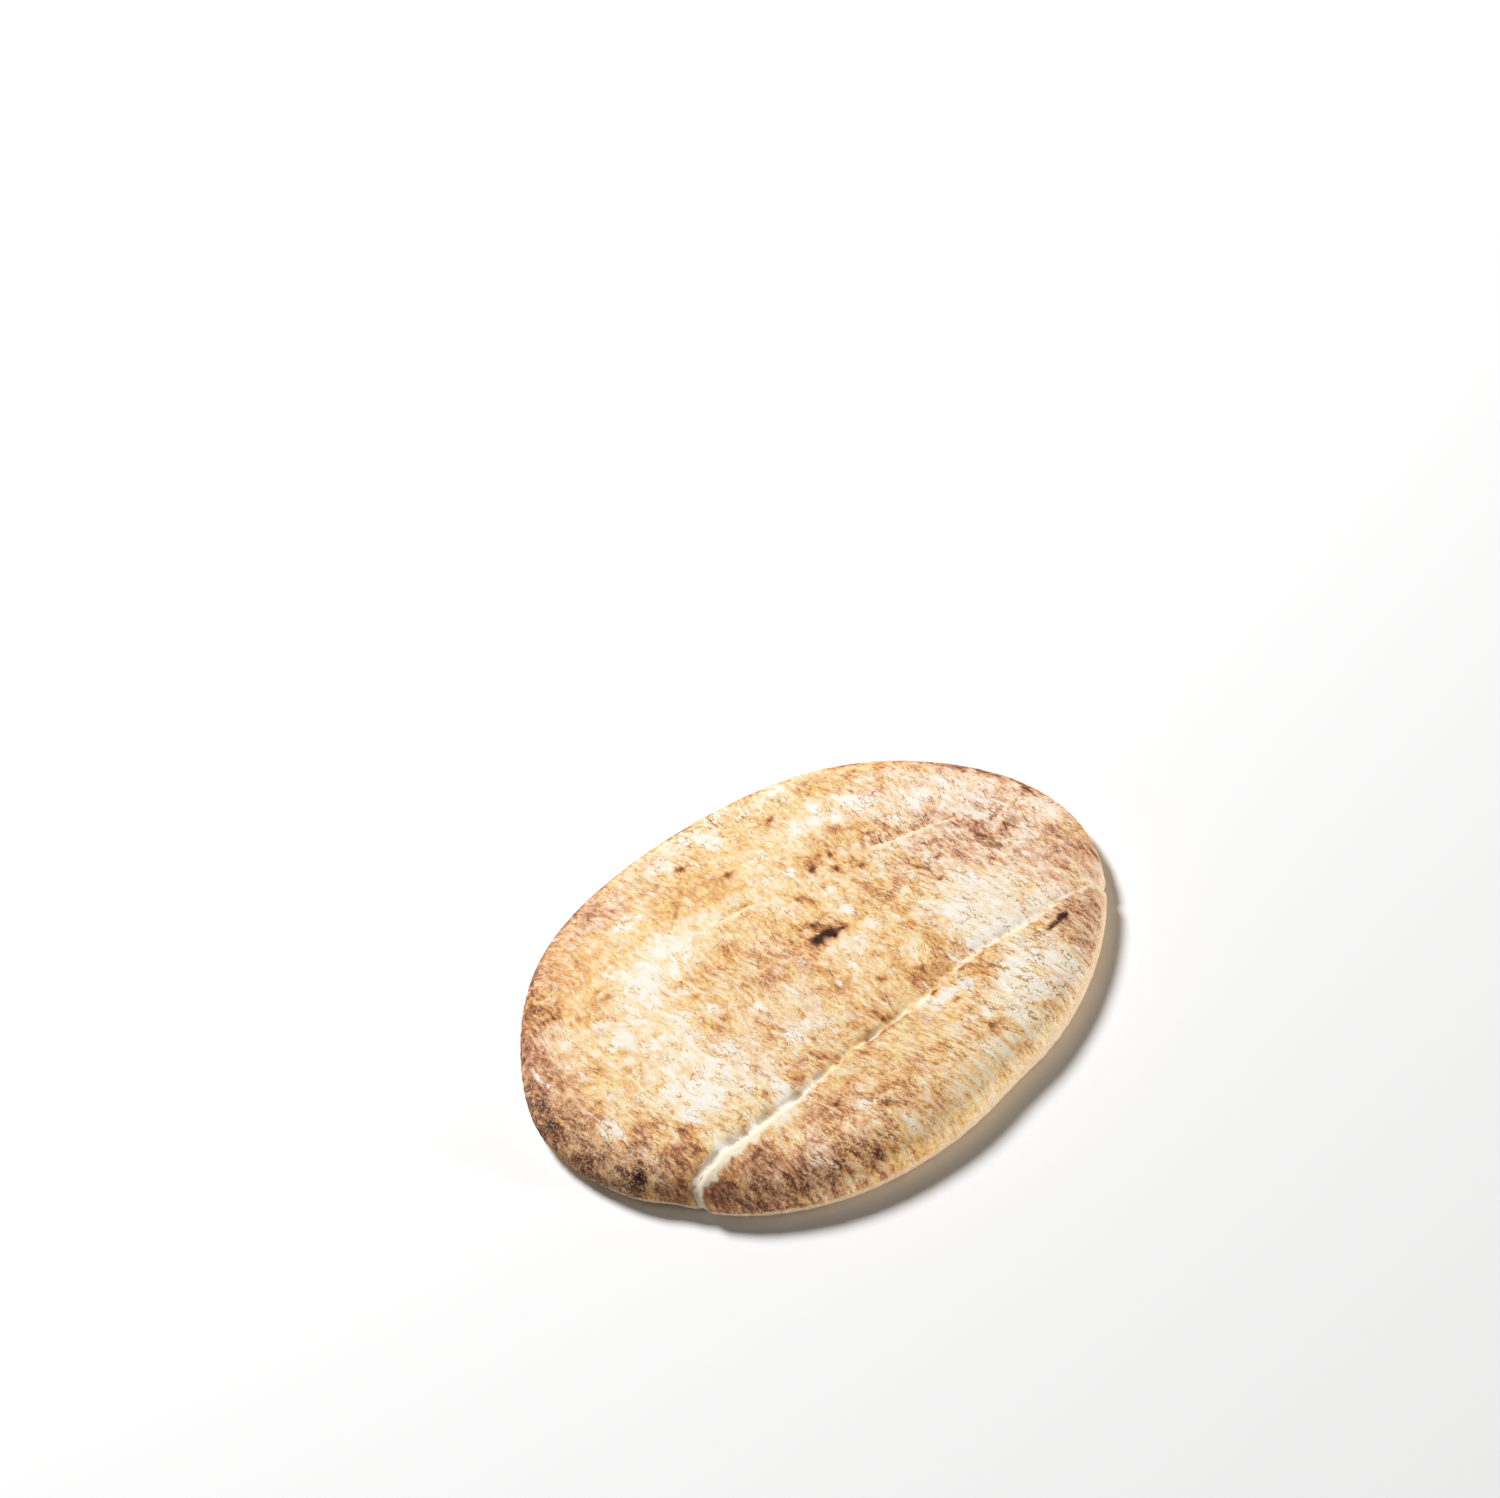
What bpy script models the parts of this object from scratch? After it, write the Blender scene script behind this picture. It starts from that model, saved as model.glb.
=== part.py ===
"""Greek pita bread: one round flat loaf, pressed over itself in a fold along its near side.

Sizes are in millimetres until the mesh is made, in metres with +Z up. The bread lies flat:
its underside is on Z = 0 and the middle of its box is over the origin. The fold runs along
the -Y side, from the notch in the edge at the lower left to the one at the right.
"""
import math
from collections import namedtuple

import bpy
from mathutils import Vector
from mathutils.geometry import delaunay_2d_cdt

NODE_NAME = "pita_bread"
MM = 0.001

# Edge of the loaf from above: a circle with soft lobes, each as angle, half width and swell
MEAN_RADIUS = 88.8
LOBES = (
    (4, 25, 2.6), (70, 20, 1.3), (94, 26, -1.4), (141, 21, 3.6),
    (190, 13, 1.3), (229, 6, -1.6), (259, 25, 3.7), (295, 8, -1.4),
)
# Nicks where the fold runs over the edge, also as angle, half width and swell
NICKS = ((234.0, 1.3, -1.1), (344.0, 1.1, -0.9))

# Section: the edge is round, widest at the nose, and the underside turns up less than the top
BODY_THICKNESS = 13.0
NOSE_HEIGHT = 4.4
TOP_ROLL = 14.0
FOOT_ROLL = 6.5

Fold = namedtuple("Fold", "route step reach lip groove span")
# A fold's route is followed from left to right, and the dough on its right stands higher.
# step is that rise, reach how far it carries (0 is to the edge), lip the extra roll of dough
# along it, groove the sink on its left, and span the stretches where it shows, along the route.
MAIN_FOLD = Fold(
    route=((-55, -77), (-52.5, -71.5), (-51, -69.6), (-47.5, -68.8), (-44, -68), (-40.5, -65.9),
           (-31.5, -63.8), (-26, -62), (-20, -60.2), (-15, -59), (-9, -56.4), (-3, -53.6), (2, -51.6),
           (8, -50.4), (14, -48.5), (23, -45.8), (28.5, -43.7), (32.5, -41.2), (38, -39), (45, -36.9),
           (54, -35.4), (62, -34.2), (70, -32), (76, -30), (81.5, -27.6), (86, -26.4), (93, -25)),
    step=1.1, reach=0.0, lip=0.45, groove=0.7, span=((-10, 220),))
BACK_FOLD = Fold(
    route=((-21, 28.5), (-18, 27), (-14, 26.3), (-9, 27.3), (-4, 27), (3, 27.5), (20, 28.5), (34, 28),
           (38, 26.8), (46, 26.4), (53, 25.4), (59, 24), (64, 20), (67.5, 15), (69, 10.5)),
    step=0.55, reach=13.0, lip=0.25, groove=0.5, span=((1, 17), (54, 92)))
HOOK_FOLD = Fold(
    route=((72, 6), (69.2, 9.5), (70, 14), (72.5, 17.5), (76, 19.5), (79, 22.5), (81, 27), (83, 33)),
    step=0.6, reach=8.0, lip=0.3, groove=0.4, span=((2, 24),))
FOLDS = (MAIN_FOLD, BACK_FOLD, HOOK_FOLD)
STEP_WIDTH = 1.7
LIP_WIDTH = 1.9
GROOVE_WIDTH = 1.7
SPAN_FADE = 5.0

# Hollows behind the main fold, where the crust is stretched: middle x, y, half length and depth
PITS = (
    (-47, -66.8, 2.2, 1.0), (-43, -65.4, 2.2, 1.2), (-37, -63.1, 2.2, 1.0), (-32.8, -62.2, 1.6, 1.0),
    (-26, -59.8, 3.0, 1.2), (-16.4, -57.6, 2.8, 1.3), (-8.8, -54.6, 1.9, 1.1), (-1.6, -52, 1.6, 0.6),
    (9, -48.1, 2.5, 1.1), (17.5, -46, 2.5, 0.7),
)
PIT_WIDTH = 1.8
PIT_TURN = math.radians(23)

# Soft rises and hollows of the top, each as middle x, y, radius and height
SWELLS = (
    (-48, 18, 34, 0.55), (22, 56, 30, 0.45), (-22, -28, 30, -0.5), (47, -10, 28, 0.4),
    (-62, -38, 20, -0.35), (28, -72, 28, 0.35), (60, 42, 22, -0.3), (-14, 66, 20, -0.3),
    (-66, 44, 20, 0.25), (12, 12, 22, -0.25),
)
# Blisters of the crust, which baked darkest
BLISTERS = (
    (6, -1.3, 5, 0.5), (13, -1.1, 5, 0.45), (-9, 45, 5, 0.35), (74.5, 13.5, 5.5, 0.35),
    (62.5, 15, 7, 0.4), (-63.5, -56.5, 6, 0.4), (-75, 17.5, 7, 0.35), (70.5, -38, 6, 0.4),
    (10, 62, 5, 0.3), (-39.5, -76, 9, 0.35), (-58, 17.5, 5, 0.25), (28.5, -30, 6, 0.3),
    (49, 9, 4.5, 0.25), (-31.5, -2.5, 5, 0.2), (82.5, 24.5, 5, 0.4),
)
# Hollows of the underside, which else lies flat
FOOT_HOLLOWS = (
    (-34, 30, 22, 0.6), (30, 42, 20, 0.5), (44, -26, 22, 0.7), (-26, -42, 18, 0.5), (64, 18, 12, 0.4),
    (-66, -8, 12, 0.4), (6, -66, 13, 0.4),
)

# Spacing of the facets
EDGE_STEP = 1.75
NICK_STEP = 0.6
NICK_REACH = 2.4
LATTICE = 3.5
FOOT_LATTICE = 7.5
ROW_STEP = 2.6
MAIN_ROWS = (-5.6, -3.4, -1.9, -0.8, 0.2, 1.2, 2.6, 5.0)
SIDE_ROWS = (-3.0, -1.2, 0.0, 1.2, 3.2)
ROW_GAP = 0.9
# Rings round the edge, as turns of its section in degrees from the nose: the whole ones of the top
# and the underside, and those of the top that give way to the folds
TOP_TURNS = (14, 30, 46)
UPPER_TURNS = (62, 77, 90)
FOOT_TURNS = (28, 58, 90)

# Crust colour of the plain solid, linear
CRUST_COLOUR = (0.62, 0.40, 0.20, 1.0)
CRUST_ROUGHNESS = 0.8


def lobe(angle, lobes):
    """The sum of smooth lobes at an angle in degrees."""
    total = 0.0
    for middle, width, swell in lobes:
        offset = (angle - middle + 180.0) % 360.0 - 180.0
        total += swell * math.exp(-(offset / width) ** 2)
    return total


def edge_radius(angle):
    return MEAN_RADIUS + lobe(angle, LOBES) + lobe(angle, NICKS)


def polar(angle, radius):
    turn = math.radians(angle)
    return radius * math.cos(turn), radius * math.sin(turn)


def depth_from_edge(x, y):
    angle = math.degrees(math.atan2(y, x)) % 360.0
    return edge_radius(angle) - math.hypot(x, y)


def bell(x, y, middle_x, middle_y, radius):
    """A smooth bump of height 1 that ends at its radius."""
    ratio = ((x - middle_x) ** 2 + (y - middle_y) ** 2) / radius ** 2
    return max(0.0, 1.0 - ratio) ** 2


def rise(value):
    """From 0 to 1 as value goes from -1 to 1, level at both ends."""
    t = min(max(0.5 * value + 0.5, 0.0), 1.0)
    return t * t * (3.0 - 2.0 * t)


def smooth_route(route, spacing):
    """Points evenly along a Catmull-Rom curve through the route's own points."""
    ends = [Vector(route[0]) * 2 - Vector(route[1])] + [Vector(p) for p in route]
    ends.append(Vector(route[-1]) * 2 - Vector(route[-2]))
    fine = []
    for a, b, c, d in zip(ends, ends[1:], ends[2:], ends[3:]):
        for k in range(12):
            t = k / 12
            fine.append(0.5 * (2 * b + (c - a) * t + (2 * a - 5 * b + 4 * c - d) * t ** 2
                               + (3 * b - a - 3 * c + d) * t ** 3))
    fine.append(Vector(route[-1]))
    points = [fine[0]]
    travelled = 0.0
    for start, end in zip(fine, fine[1:]):
        travelled += (end - start).length
        if travelled >= spacing:
            points.append(end)
            travelled = 0.0
    return points


FOLD_LINES = {fold: smooth_route(fold.route, 1.5) for fold in FOLDS}


def beside_fold(x, y, line):
    """Signed distance from a line of points, right of it positive, and the length up to there."""
    point = Vector((x, y))
    best = None
    travelled = 0.0
    for start, end in zip(line, line[1:]):
        along = end - start
        t = min(max((point - start).dot(along) / along.length_squared, 0.0), 1.0)
        away = point - start - along * t
        if best is None or away.length < abs(best[0]):
            side = 1.0 if along.y * away.x - along.x * away.y > 0.0 else -1.0
            best = side * away.length, travelled + along.length * t
        travelled += along.length
    return best


def fold_relief(x, y, fold):
    offset, along = beside_fold(x, y, FOLD_LINES[fold])
    shown = 0.0
    for start, end in fold.span:
        shown = max(shown, rise((along - start) / SPAN_FADE) * rise((end - along) / SPAN_FADE))
    carry = math.exp(-(offset / fold.reach) ** 2) if fold.reach else 1.0
    height = fold.step * rise(offset / STEP_WIDTH) * carry
    height += fold.lip * math.exp(-((offset - LIP_WIDTH) / LIP_WIDTH) ** 2)
    height -= fold.groove * math.exp(-((offset + GROOVE_WIDTH) / GROOVE_WIDTH) ** 2)
    return height * shown


def pit_relief(x, y):
    total = 0.0
    for middle_x, middle_y, length, depth in PITS:
        along = (x - middle_x) * math.cos(PIT_TURN) + (y - middle_y) * math.sin(PIT_TURN)
        across = (y - middle_y) * math.cos(PIT_TURN) - (x - middle_x) * math.sin(PIT_TURN)
        total -= depth * math.exp(-(along / length) ** 2 - (across / PIT_WIDTH) ** 2)
    return total


def plateau(x, y):
    """Height of the top where the edge's roll doesn't lower it."""
    height = BODY_THICKNESS + pit_relief(x, y)
    height += sum(fold_relief(x, y, fold) for fold in FOLDS)
    height += sum(rise_by * bell(x, y, mx, my, radius) for mx, my, radius, rise_by in SWELLS + BLISTERS)
    return height


def roll(depth, width):
    """Share of the full height that a round edge has reached this far in."""
    return math.sqrt(1.0 - (1.0 - min(max(depth / width, 0.0), 1.0)) ** 2)


def top_height(x, y, depth):
    return NOSE_HEIGHT + (plateau(x, y) - NOSE_HEIGHT) * roll(depth, TOP_ROLL)


def foot_height(x, y, depth):
    hollow = sum(lift * bell(x, y, mx, my, radius) for mx, my, radius, lift in FOOT_HOLLOWS)
    return NOSE_HEIGHT * (1.0 - roll(depth, FOOT_ROLL)) + hollow


def edge_angles():
    """Angles round the edge, closer together at the nicks."""
    angles = []
    angle = 0.0
    while angle < 360.0 - 0.5 * EDGE_STEP:
        angles.append(angle)
        near = min(abs(angle + 0.5 * NICK_STEP - nick[0]) for nick in NICKS)
        angle += NICK_STEP if near < NICK_REACH else EDGE_STEP
    return angles


def ring(angles, depth):
    return [polar(angle, edge_radius(angle) - depth) for angle in angles]


def turned_in(width, turn):
    """How far in from the edge a roll of this width is, at a turn from the nose."""
    return width * (1.0 - math.cos(math.radians(turn)))


def fold_rows(fold, offsets, margin):
    """Points in rows beside a fold, where it shows and lies inside the margin."""
    line = smooth_route(fold.route, ROW_STEP)
    points = []
    travelled = 0.0
    for start, end in zip(line, line[1:]):
        along = (end - start).normalized()
        if any(first - SPAN_FADE < travelled < last + SPAN_FADE for first, last in fold.span):
            for offset in offsets:
                point = start + Vector((along.y, -along.x)) * offset
                if depth_from_edge(point.x, point.y) > margin:
                    points.append((point.x, point.y))
        travelled += (end - start).length
    return points


def lattice_points(spacing, margin):
    """A triangular lattice inside the edge."""
    rows = int(2.4 * MEAN_RADIUS / spacing)
    points = []
    for row in range(-rows, rows + 1):
        y = row * spacing * math.sin(math.radians(60))
        for column in range(-rows, rows + 1):
            x = (column + 0.5 * (row % 2)) * spacing
            if depth_from_edge(x, y) >= margin:
                points.append((x, y))
    return points


def is_clear(x, y, others, clearance):
    return all((x - px) ** 2 + (y - py) ** 2 > clearance ** 2 for px, py in others)


def clear_of(points, others, clearance):
    return [(x, y) for x, y in points if is_clear(x, y, others, clearance)]


def thin_out(points, clearance):
    """The points without those that crowd an earlier one."""
    kept = []
    for x, y in points:
        if is_clear(x, y, kept, clearance):
            kept.append((x, y))
    return kept


def triangles_over(points, edge_count):
    """Triangles that fill the loop of the first edge_count points, through the others."""
    flat = [Vector(point) for point in points]
    result = delaunay_2d_cdt(flat, [], [list(range(edge_count))], 1, 1e-6)
    origins = [ids[0] for ids in result[3]]
    return [tuple(origins[corner] for corner in face) for face in result[2]]


def top_layout(angles):
    """Points of the top inside its whole rings, the innermost of those first."""
    depth = turned_in(TOP_ROLL, TOP_TURNS[-1])
    rows = fold_rows(MAIN_FOLD, MAIN_ROWS, depth + ROW_GAP)
    rows += fold_rows(BACK_FOLD, SIDE_ROWS, depth + ROW_GAP)
    rows += fold_rows(HOOK_FOLD, SIDE_ROWS, depth + ROW_GAP)
    rows = thin_out(rows, ROW_GAP)
    upper = [point for turn in UPPER_TURNS for point in ring(angles, turned_in(TOP_ROLL, turn))]
    lattice = lattice_points(LATTICE, TOP_ROLL + 0.55 * LATTICE)
    field = thin_out(upper, ROW_GAP) + lattice
    return ring(angles, depth) + rows + clear_of(field, rows, 0.62 * LATTICE)


def foot_layout(angles):
    return ring(angles, FOOT_ROLL) + lattice_points(FOOT_LATTICE, FOOT_ROLL + 0.6 * FOOT_LATTICE)


def build_mesh():
    """The closed surface: nose ring, rings up to the top and down to the underside, and both faces."""
    angles = edge_angles()
    count = len(angles)
    verts = []
    faces = []

    def add_points(points, height_of):
        first = len(verts)
        for x, y in points:
            verts.append((x, y, height_of(x, y, depth_from_edge(x, y))))
        return first

    def join_rings(lower, upper):
        for k in range(count):
            after = (k + 1) % count
            faces.append((lower + k, lower + after, upper + after))
            faces.append((lower + k, upper + after, upper + k))

    nose = add_points(ring(angles, 0.0), top_height)
    below = nose
    for turn in TOP_TURNS[:-1]:
        above = add_points(ring(angles, turned_in(TOP_ROLL, turn)), top_height)
        join_rings(below, above)
        below = above
    top_points = top_layout(angles)
    top = add_points(top_points, top_height)
    join_rings(below, top)
    faces.extend((top + a, top + b, top + c) for a, b, c in triangles_over(top_points, count))

    above = nose
    for turn in FOOT_TURNS[:-1]:
        below = add_points(ring(angles, turned_in(FOOT_ROLL, turn)), foot_height)
        join_rings(below, above)
        above = below
    foot_points = foot_layout(angles)
    foot = add_points(foot_points, foot_height)
    join_rings(foot, above)
    faces.extend((foot + c, foot + b, foot + a) for a, b, c in triangles_over(foot_points, count))

    middle = [0.5 * (min(v[axis] for v in verts) + max(v[axis] for v in verts)) for axis in (0, 1)]
    metres = [((x - middle[0]) * MM, (y - middle[1]) * MM, z * MM) for x, y, z in verts]
    mesh = bpy.data.meshes.new(NODE_NAME)
    mesh.from_pydata(metres, [], faces)
    mesh.validate()
    mesh.update()
    mesh.shade_smooth()
    return mesh


def crust_material():
    material = bpy.data.materials.new("crust")
    material.use_nodes = True
    shader = material.node_tree.nodes["Principled BSDF"]
    shader.inputs["Base Color"].default_value = CRUST_COLOUR
    shader.inputs["Roughness"].default_value = CRUST_ROUGHNESS
    shader.inputs["Metallic"].default_value = 0.0
    return material


def clear_scene():
    for obj in list(bpy.data.objects):
        bpy.data.objects.remove(obj, do_unlink=True)


clear_scene()
bread = bpy.data.objects.new(NODE_NAME, build_mesh())
bread.data.materials.append(crust_material())
bpy.context.scene.collection.objects.link(bread)
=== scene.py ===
"""Greek pita bread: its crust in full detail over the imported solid, with studio light and camera.

Sizes are in millimetres until a mesh is made. The main form repeats the solid's own sizes. The
crust's fine pleats are pressed into it, never out of it, and its colours are painted on the
vertices from marks that are named below, each where the bread shows it.
"""

import math
from collections import namedtuple

import bpy
import numpy as np
from mathutils import Matrix, Vector
from mathutils.geometry import delaunay_2d_cdt


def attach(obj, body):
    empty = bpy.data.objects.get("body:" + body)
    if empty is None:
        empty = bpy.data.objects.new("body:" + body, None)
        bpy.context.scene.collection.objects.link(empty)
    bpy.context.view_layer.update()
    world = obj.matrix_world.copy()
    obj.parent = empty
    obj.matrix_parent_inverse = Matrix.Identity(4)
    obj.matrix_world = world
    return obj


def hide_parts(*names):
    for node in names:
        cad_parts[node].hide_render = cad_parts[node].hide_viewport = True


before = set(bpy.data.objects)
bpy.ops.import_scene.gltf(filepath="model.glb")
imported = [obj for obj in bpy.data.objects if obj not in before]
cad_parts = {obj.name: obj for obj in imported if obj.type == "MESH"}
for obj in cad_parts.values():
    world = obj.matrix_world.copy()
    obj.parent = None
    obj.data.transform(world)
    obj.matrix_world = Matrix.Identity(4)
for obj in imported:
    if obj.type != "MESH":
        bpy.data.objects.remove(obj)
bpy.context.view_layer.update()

MM = 0.001

# Form of the solid
MEAN_RADIUS = 88.8
LOBES = (
    (4, 25, 2.6), (70, 20, 1.3), (94, 26, -1.4), (141, 21, 3.6),
    (190, 13, 1.3), (229, 6, -1.6), (259, 25, 3.7), (295, 8, -1.4),
    # the two nicks
    (234, 1.3, -1.1), (344, 1.1, -0.9),
)
BODY_THICKNESS = 13.0
NOSE_HEIGHT = 4.4
TOP_ROLL = 14.0
FOOT_ROLL = 6.5

Fold = namedtuple("Fold", "route step reach lip groove span")
MAIN_FOLD = Fold(
    route=((-55, -77), (-52.5, -71.5), (-51, -69.6), (-47.5, -68.8), (-44, -68), (-40.5, -65.9),
           (-31.5, -63.8), (-26, -62), (-20, -60.2), (-15, -59), (-9, -56.4), (-3, -53.6), (2, -51.6),
           (8, -50.4), (14, -48.5), (23, -45.8), (28.5, -43.7), (32.5, -41.2), (38, -39), (45, -36.9),
           (54, -35.4), (62, -34.2), (70, -32), (76, -30), (81.5, -27.6), (86, -26.4), (93, -25)),
    step=1.1, reach=math.inf, lip=0.09, groove=0.7, span=((-10, 220),))
BACK_FOLD = Fold(
    route=((-21, 28.5), (-18, 27), (-14, 26.3), (-9, 27.3), (-4, 27), (3, 27.5), (20, 28.5), (34, 28),
           (38, 26.8), (46, 26.4), (53, 25.4), (59, 24), (64, 20), (67.5, 15), (69, 10.5)),
    step=0.55, reach=13.0, lip=0.05, groove=0.5, span=((1, 17), (54, 92)))
HOOK_FOLD = Fold(
    route=((72, 6), (69.2, 9.5), (70, 14), (72.5, 17.5), (76, 19.5), (79, 22.5), (81, 27), (83, 33)),
    step=0.6, reach=8.0, lip=0.06, groove=0.4, span=((2, 15),))
FOLDS = (MAIN_FOLD, BACK_FOLD, HOOK_FOLD)
STEP_WIDTH = 2.6
LIP_WIDTH = 1.9
GROOVE_WIDTH = 1.7
SPAN_FADE = 5.0
# Middle x, y, length and depth
PITS = (
    (-47, -66.8, 2.2, 1), (-43, -65.4, 2.2, 1.2), (-37, -63.1, 2.2, 1), (-32.8, -62.2, 1.6, 1),
    (-26, -59.8, 3, 1.2), (-16.4, -57.6, 2.8, 1.3), (-8.8, -54.6, 1.9, 1.1), (-1.6, -52, 1.6, 0.6),
    (9, -48.1, 2.5, 1.1), (17.5, -46, 2.5, 0.7),
)
PIT_WIDTH = 1.8
PIT_TURN = math.radians(23)
# Broad swells and small blisters: middle x, y, radius and height
SWELLS = (
    (-48, 18, 34, 0.55), (22, 56, 30, 0.45), (-22, -28, 30, -0.5), (47, -10, 28, 0.4),
    (-62, -38, 20, -0.35), (28, -72, 28, 0.35), (60, 42, 22, -0.3), (-14, 66, 20, -0.3),
    (-66, 44, 20, 0.25), (12, 12, 22, -0.25),
    (6, -1.3, 5, 0.5), (13, -1.1, 5, 0.45), (-9, 45, 5, 0.35), (74.5, 13.5, 5.5, 0.35),
    (62.5, 15, 7, 0.4), (-63.5, -56.5, 6, 0.4), (-75, 17.5, 7, 0.35), (70.5, -38, 6, 0.4),
    (10, 62, 5, 0.3), (-39.5, -76, 9, 0.35), (-58, 17.5, 5, 0.25), (28.5, -30, 6, 0.3),
    (49, 9, 4.5, 0.25), (-31.5, -2.5, 5, 0.2), (82.5, 24.5, 5, 0.4),
)
FOOT_HOLLOWS = (
    (-34, 30, 22, 0.6), (30, 42, 20, 0.5), (44, -26, 22, 0.7), (-26, -42, 18, 0.5), (64, 18, 12, 0.4),
    (-66, -8, 12, 0.4), (6, -66, 13, 0.4),
)

# Fine mesh: points of a ring, steps of the rolls in degrees, and the spacing of the layouts
RING_POINTS = 1080
TOP_TURNS = np.linspace(0.0, 50.0, 13)
FOOT_TURNS = np.linspace(0.0, 90.0, 9)
PLEAT_SPACING = 0.41
STREAK_SPACING = 0.92
FOOT_SPACING = 1.9
# Rows of an even staggered layout lie this share of its points' spacing apart
ROW_SHARE = 0.87
# Points beside the folds: how far out their rows reach, their spacing, and the room for each
FOLD_REACHES = (4.3, 2.4, 2.4)
FOLD_ROW_GAP = 0.48
FOLD_POINT_GAP = 0.42
FOLD_POINT_ROOM = 0.3
# Room kept free round the points beside the folds, and inside the innermost rings
FOLD_ROOM = 0.55
FOLD_MARGIN = 0.4
TOP_MARGIN = 0.35
FOOT_MARGIN = 0.8
CURVE_STEPS = 40
LINE_SPACING = 1.5

# The pleats and streaks of the crust run this way, and wander by a few degrees
STREAK_TURN = math.radians(108)
STREAK_FAN = 0.0008
STRIP_BEND = 0.12
SKIN = 0.05


def within(value):
    """The value, kept from 0 to 1."""
    return np.clip(value, 0.0, 1.0)


def ramp(value, start=-1.0, end=1.0):
    """From 0 to 1 as value goes from start to end, level at both."""
    t = within((value - start) / (end - start))
    return t * t * (3.0 - 2.0 * t)


def mound(offset, width):
    """A smooth rise of height 1 about offset 0."""
    return np.exp(-(offset / width) ** 2)


def bumps(x, y, table):
    """Smooth bumps: middle x and y, the radius that each ends at, and its height."""
    total = np.zeros_like(x)
    for middle_x, middle_y, radius, height in table:
        ratio = ((x - middle_x) ** 2 + (y - middle_y) ** 2) / radius ** 2
        total += height * np.maximum(0.0, 1.0 - ratio) ** 2
    return total


def edge_radius(angle):
    radius = np.full_like(angle, MEAN_RADIUS)
    for middle, width, swell in LOBES:
        radius += swell * mound((angle - middle + 180.0) % 360.0 - 180.0, width)
    return radius


def angle_of(x, y):
    return np.degrees(np.arctan2(y, x)) % 360.0


def depth_from_edge(x, y):
    return edge_radius(angle_of(x, y)) - np.hypot(x, y)


def smooth_route(route, spacing):
    """Points evenly along a smooth curve through the route's own points."""
    route = [Vector(point) for point in route]
    ends = [2 * route[0] - route[1], *route, 2 * route[-1] - route[-2]]
    fine = []
    for a, b, c, d in zip(ends, ends[1:], ends[2:], ends[3:]):
        for k in range(CURVE_STEPS):
            t = k / CURVE_STEPS
            fine.append(0.5 * (2 * b + (c - a) * t + (2 * a - 5 * b + 4 * c - d) * t ** 2
                               + (3 * b - a - 3 * c + d) * t ** 3))
    fine.append(route[-1])
    points = [fine[0]]
    travelled = 0.0
    for start, end in zip(fine, fine[1:]):
        travelled += (end - start).length
        if travelled >= spacing:
            points.append(end)
            travelled = 0.0
    return points


def beside_line(x, y, line):
    """Signed distance from a line of points, right of it positive, and the length up to there."""
    offset = np.full_like(x, np.inf)
    length = np.zeros_like(x)
    travelled = 0.0
    for start, end in zip(line, line[1:]):
        step = complex(*(end - start))
        beside = (x + 1j * y - complex(*start)) * step.conjugate() / abs(step)
        reached = np.clip(beside.real, 0.0, abs(step))
        away = np.abs(beside - reached)
        closer = away < np.abs(offset)
        offset = np.where(closer, np.where(beside.imag < 0.0, away, -away), offset)
        length = np.where(closer, travelled + reached, length)
        travelled += abs(step)
    return offset, length


def shown_share(span, length):
    """How far a fold shows at a length along its route, from 0 to 1."""
    parts = [ramp((length - start) / SPAN_FADE) * ramp((end - length) / SPAN_FADE) for start, end in span]
    return np.max(parts, axis=0)


def fold_relief(fold, offset, length, strands):
    height = fold.step * ramp(offset / STEP_WIDTH) * mound(offset, fold.reach)
    height += fold.lip * mound(offset - LIP_WIDTH, LIP_WIDTH)
    height -= strands * fold.groove * mound(offset + GROOVE_WIDTH, GROOVE_WIDTH)
    return height * shown_share(fold.span, length)


def pit_relief(x, y):
    total = np.zeros_like(x)
    for middle_x, middle_y, length, depth in PITS:
        along = (x - middle_x) * math.cos(PIT_TURN) + (y - middle_y) * math.sin(PIT_TURN)
        across = (y - middle_y) * math.cos(PIT_TURN) - (x - middle_x) * math.sin(PIT_TURN)
        total -= depth * mound(along, length) * mound(across, PIT_WIDTH)
    return total


def outward(depth, width):
    """From 1 at the edge to 0 where its roll ends."""
    return 1.0 - within(depth / width)


def roll(depth, width):
    """Share of the full height that a round edge has reached this far in."""
    return np.sqrt(1.0 - outward(depth, width) ** 2)


def lattice_noise(x, y, seed):
    """Smooth noise from about -1 to 1 over unit cells."""
    size = 256
    turns = np.random.default_rng(seed).uniform(0.0, 2.0 * math.pi, (size, size))
    cell_x = np.floor(x).astype(int)
    cell_y = np.floor(y).astype(int)
    part_x = x - cell_x
    part_y = y - cell_y
    ease_x = part_x ** 3 * (part_x * (part_x * 6.0 - 15.0) + 10.0)
    ease_y = part_y ** 3 * (part_y * (part_y * 6.0 - 15.0) + 10.0)
    total = np.zeros_like(x)
    for step_x, weight_x in ((0, 1.0 - ease_x), (1, ease_x)):
        for step_y, weight_y in ((0, 1.0 - ease_y), (1, ease_y)):
            turn = turns[(cell_x + step_x) % size, (cell_y + step_y) % size]
            slope = np.cos(turn) * (part_x - step_x) + np.sin(turn) * (part_y - step_y)
            total += slope * weight_x * weight_y
    return 1.5 * total


def turned(x, y):
    """Coordinates straight across and along the streaks."""
    across = x * math.sin(STREAK_TURN) - y * math.cos(STREAK_TURN)
    return across, x * math.cos(STREAK_TURN) + y * math.sin(STREAK_TURN)


def streak_frame(x, y):
    """Coordinates across and along the streaks, which wander a little."""
    wander = 3.2 * lattice_noise(x / 46.0 + 5.0, y / 46.0 + 9.0, 11)
    wander += 0.9 * lattice_noise(x / 13.0, y / 13.0, 12)
    across, along = turned(x, y)
    return across + wander, along


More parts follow.
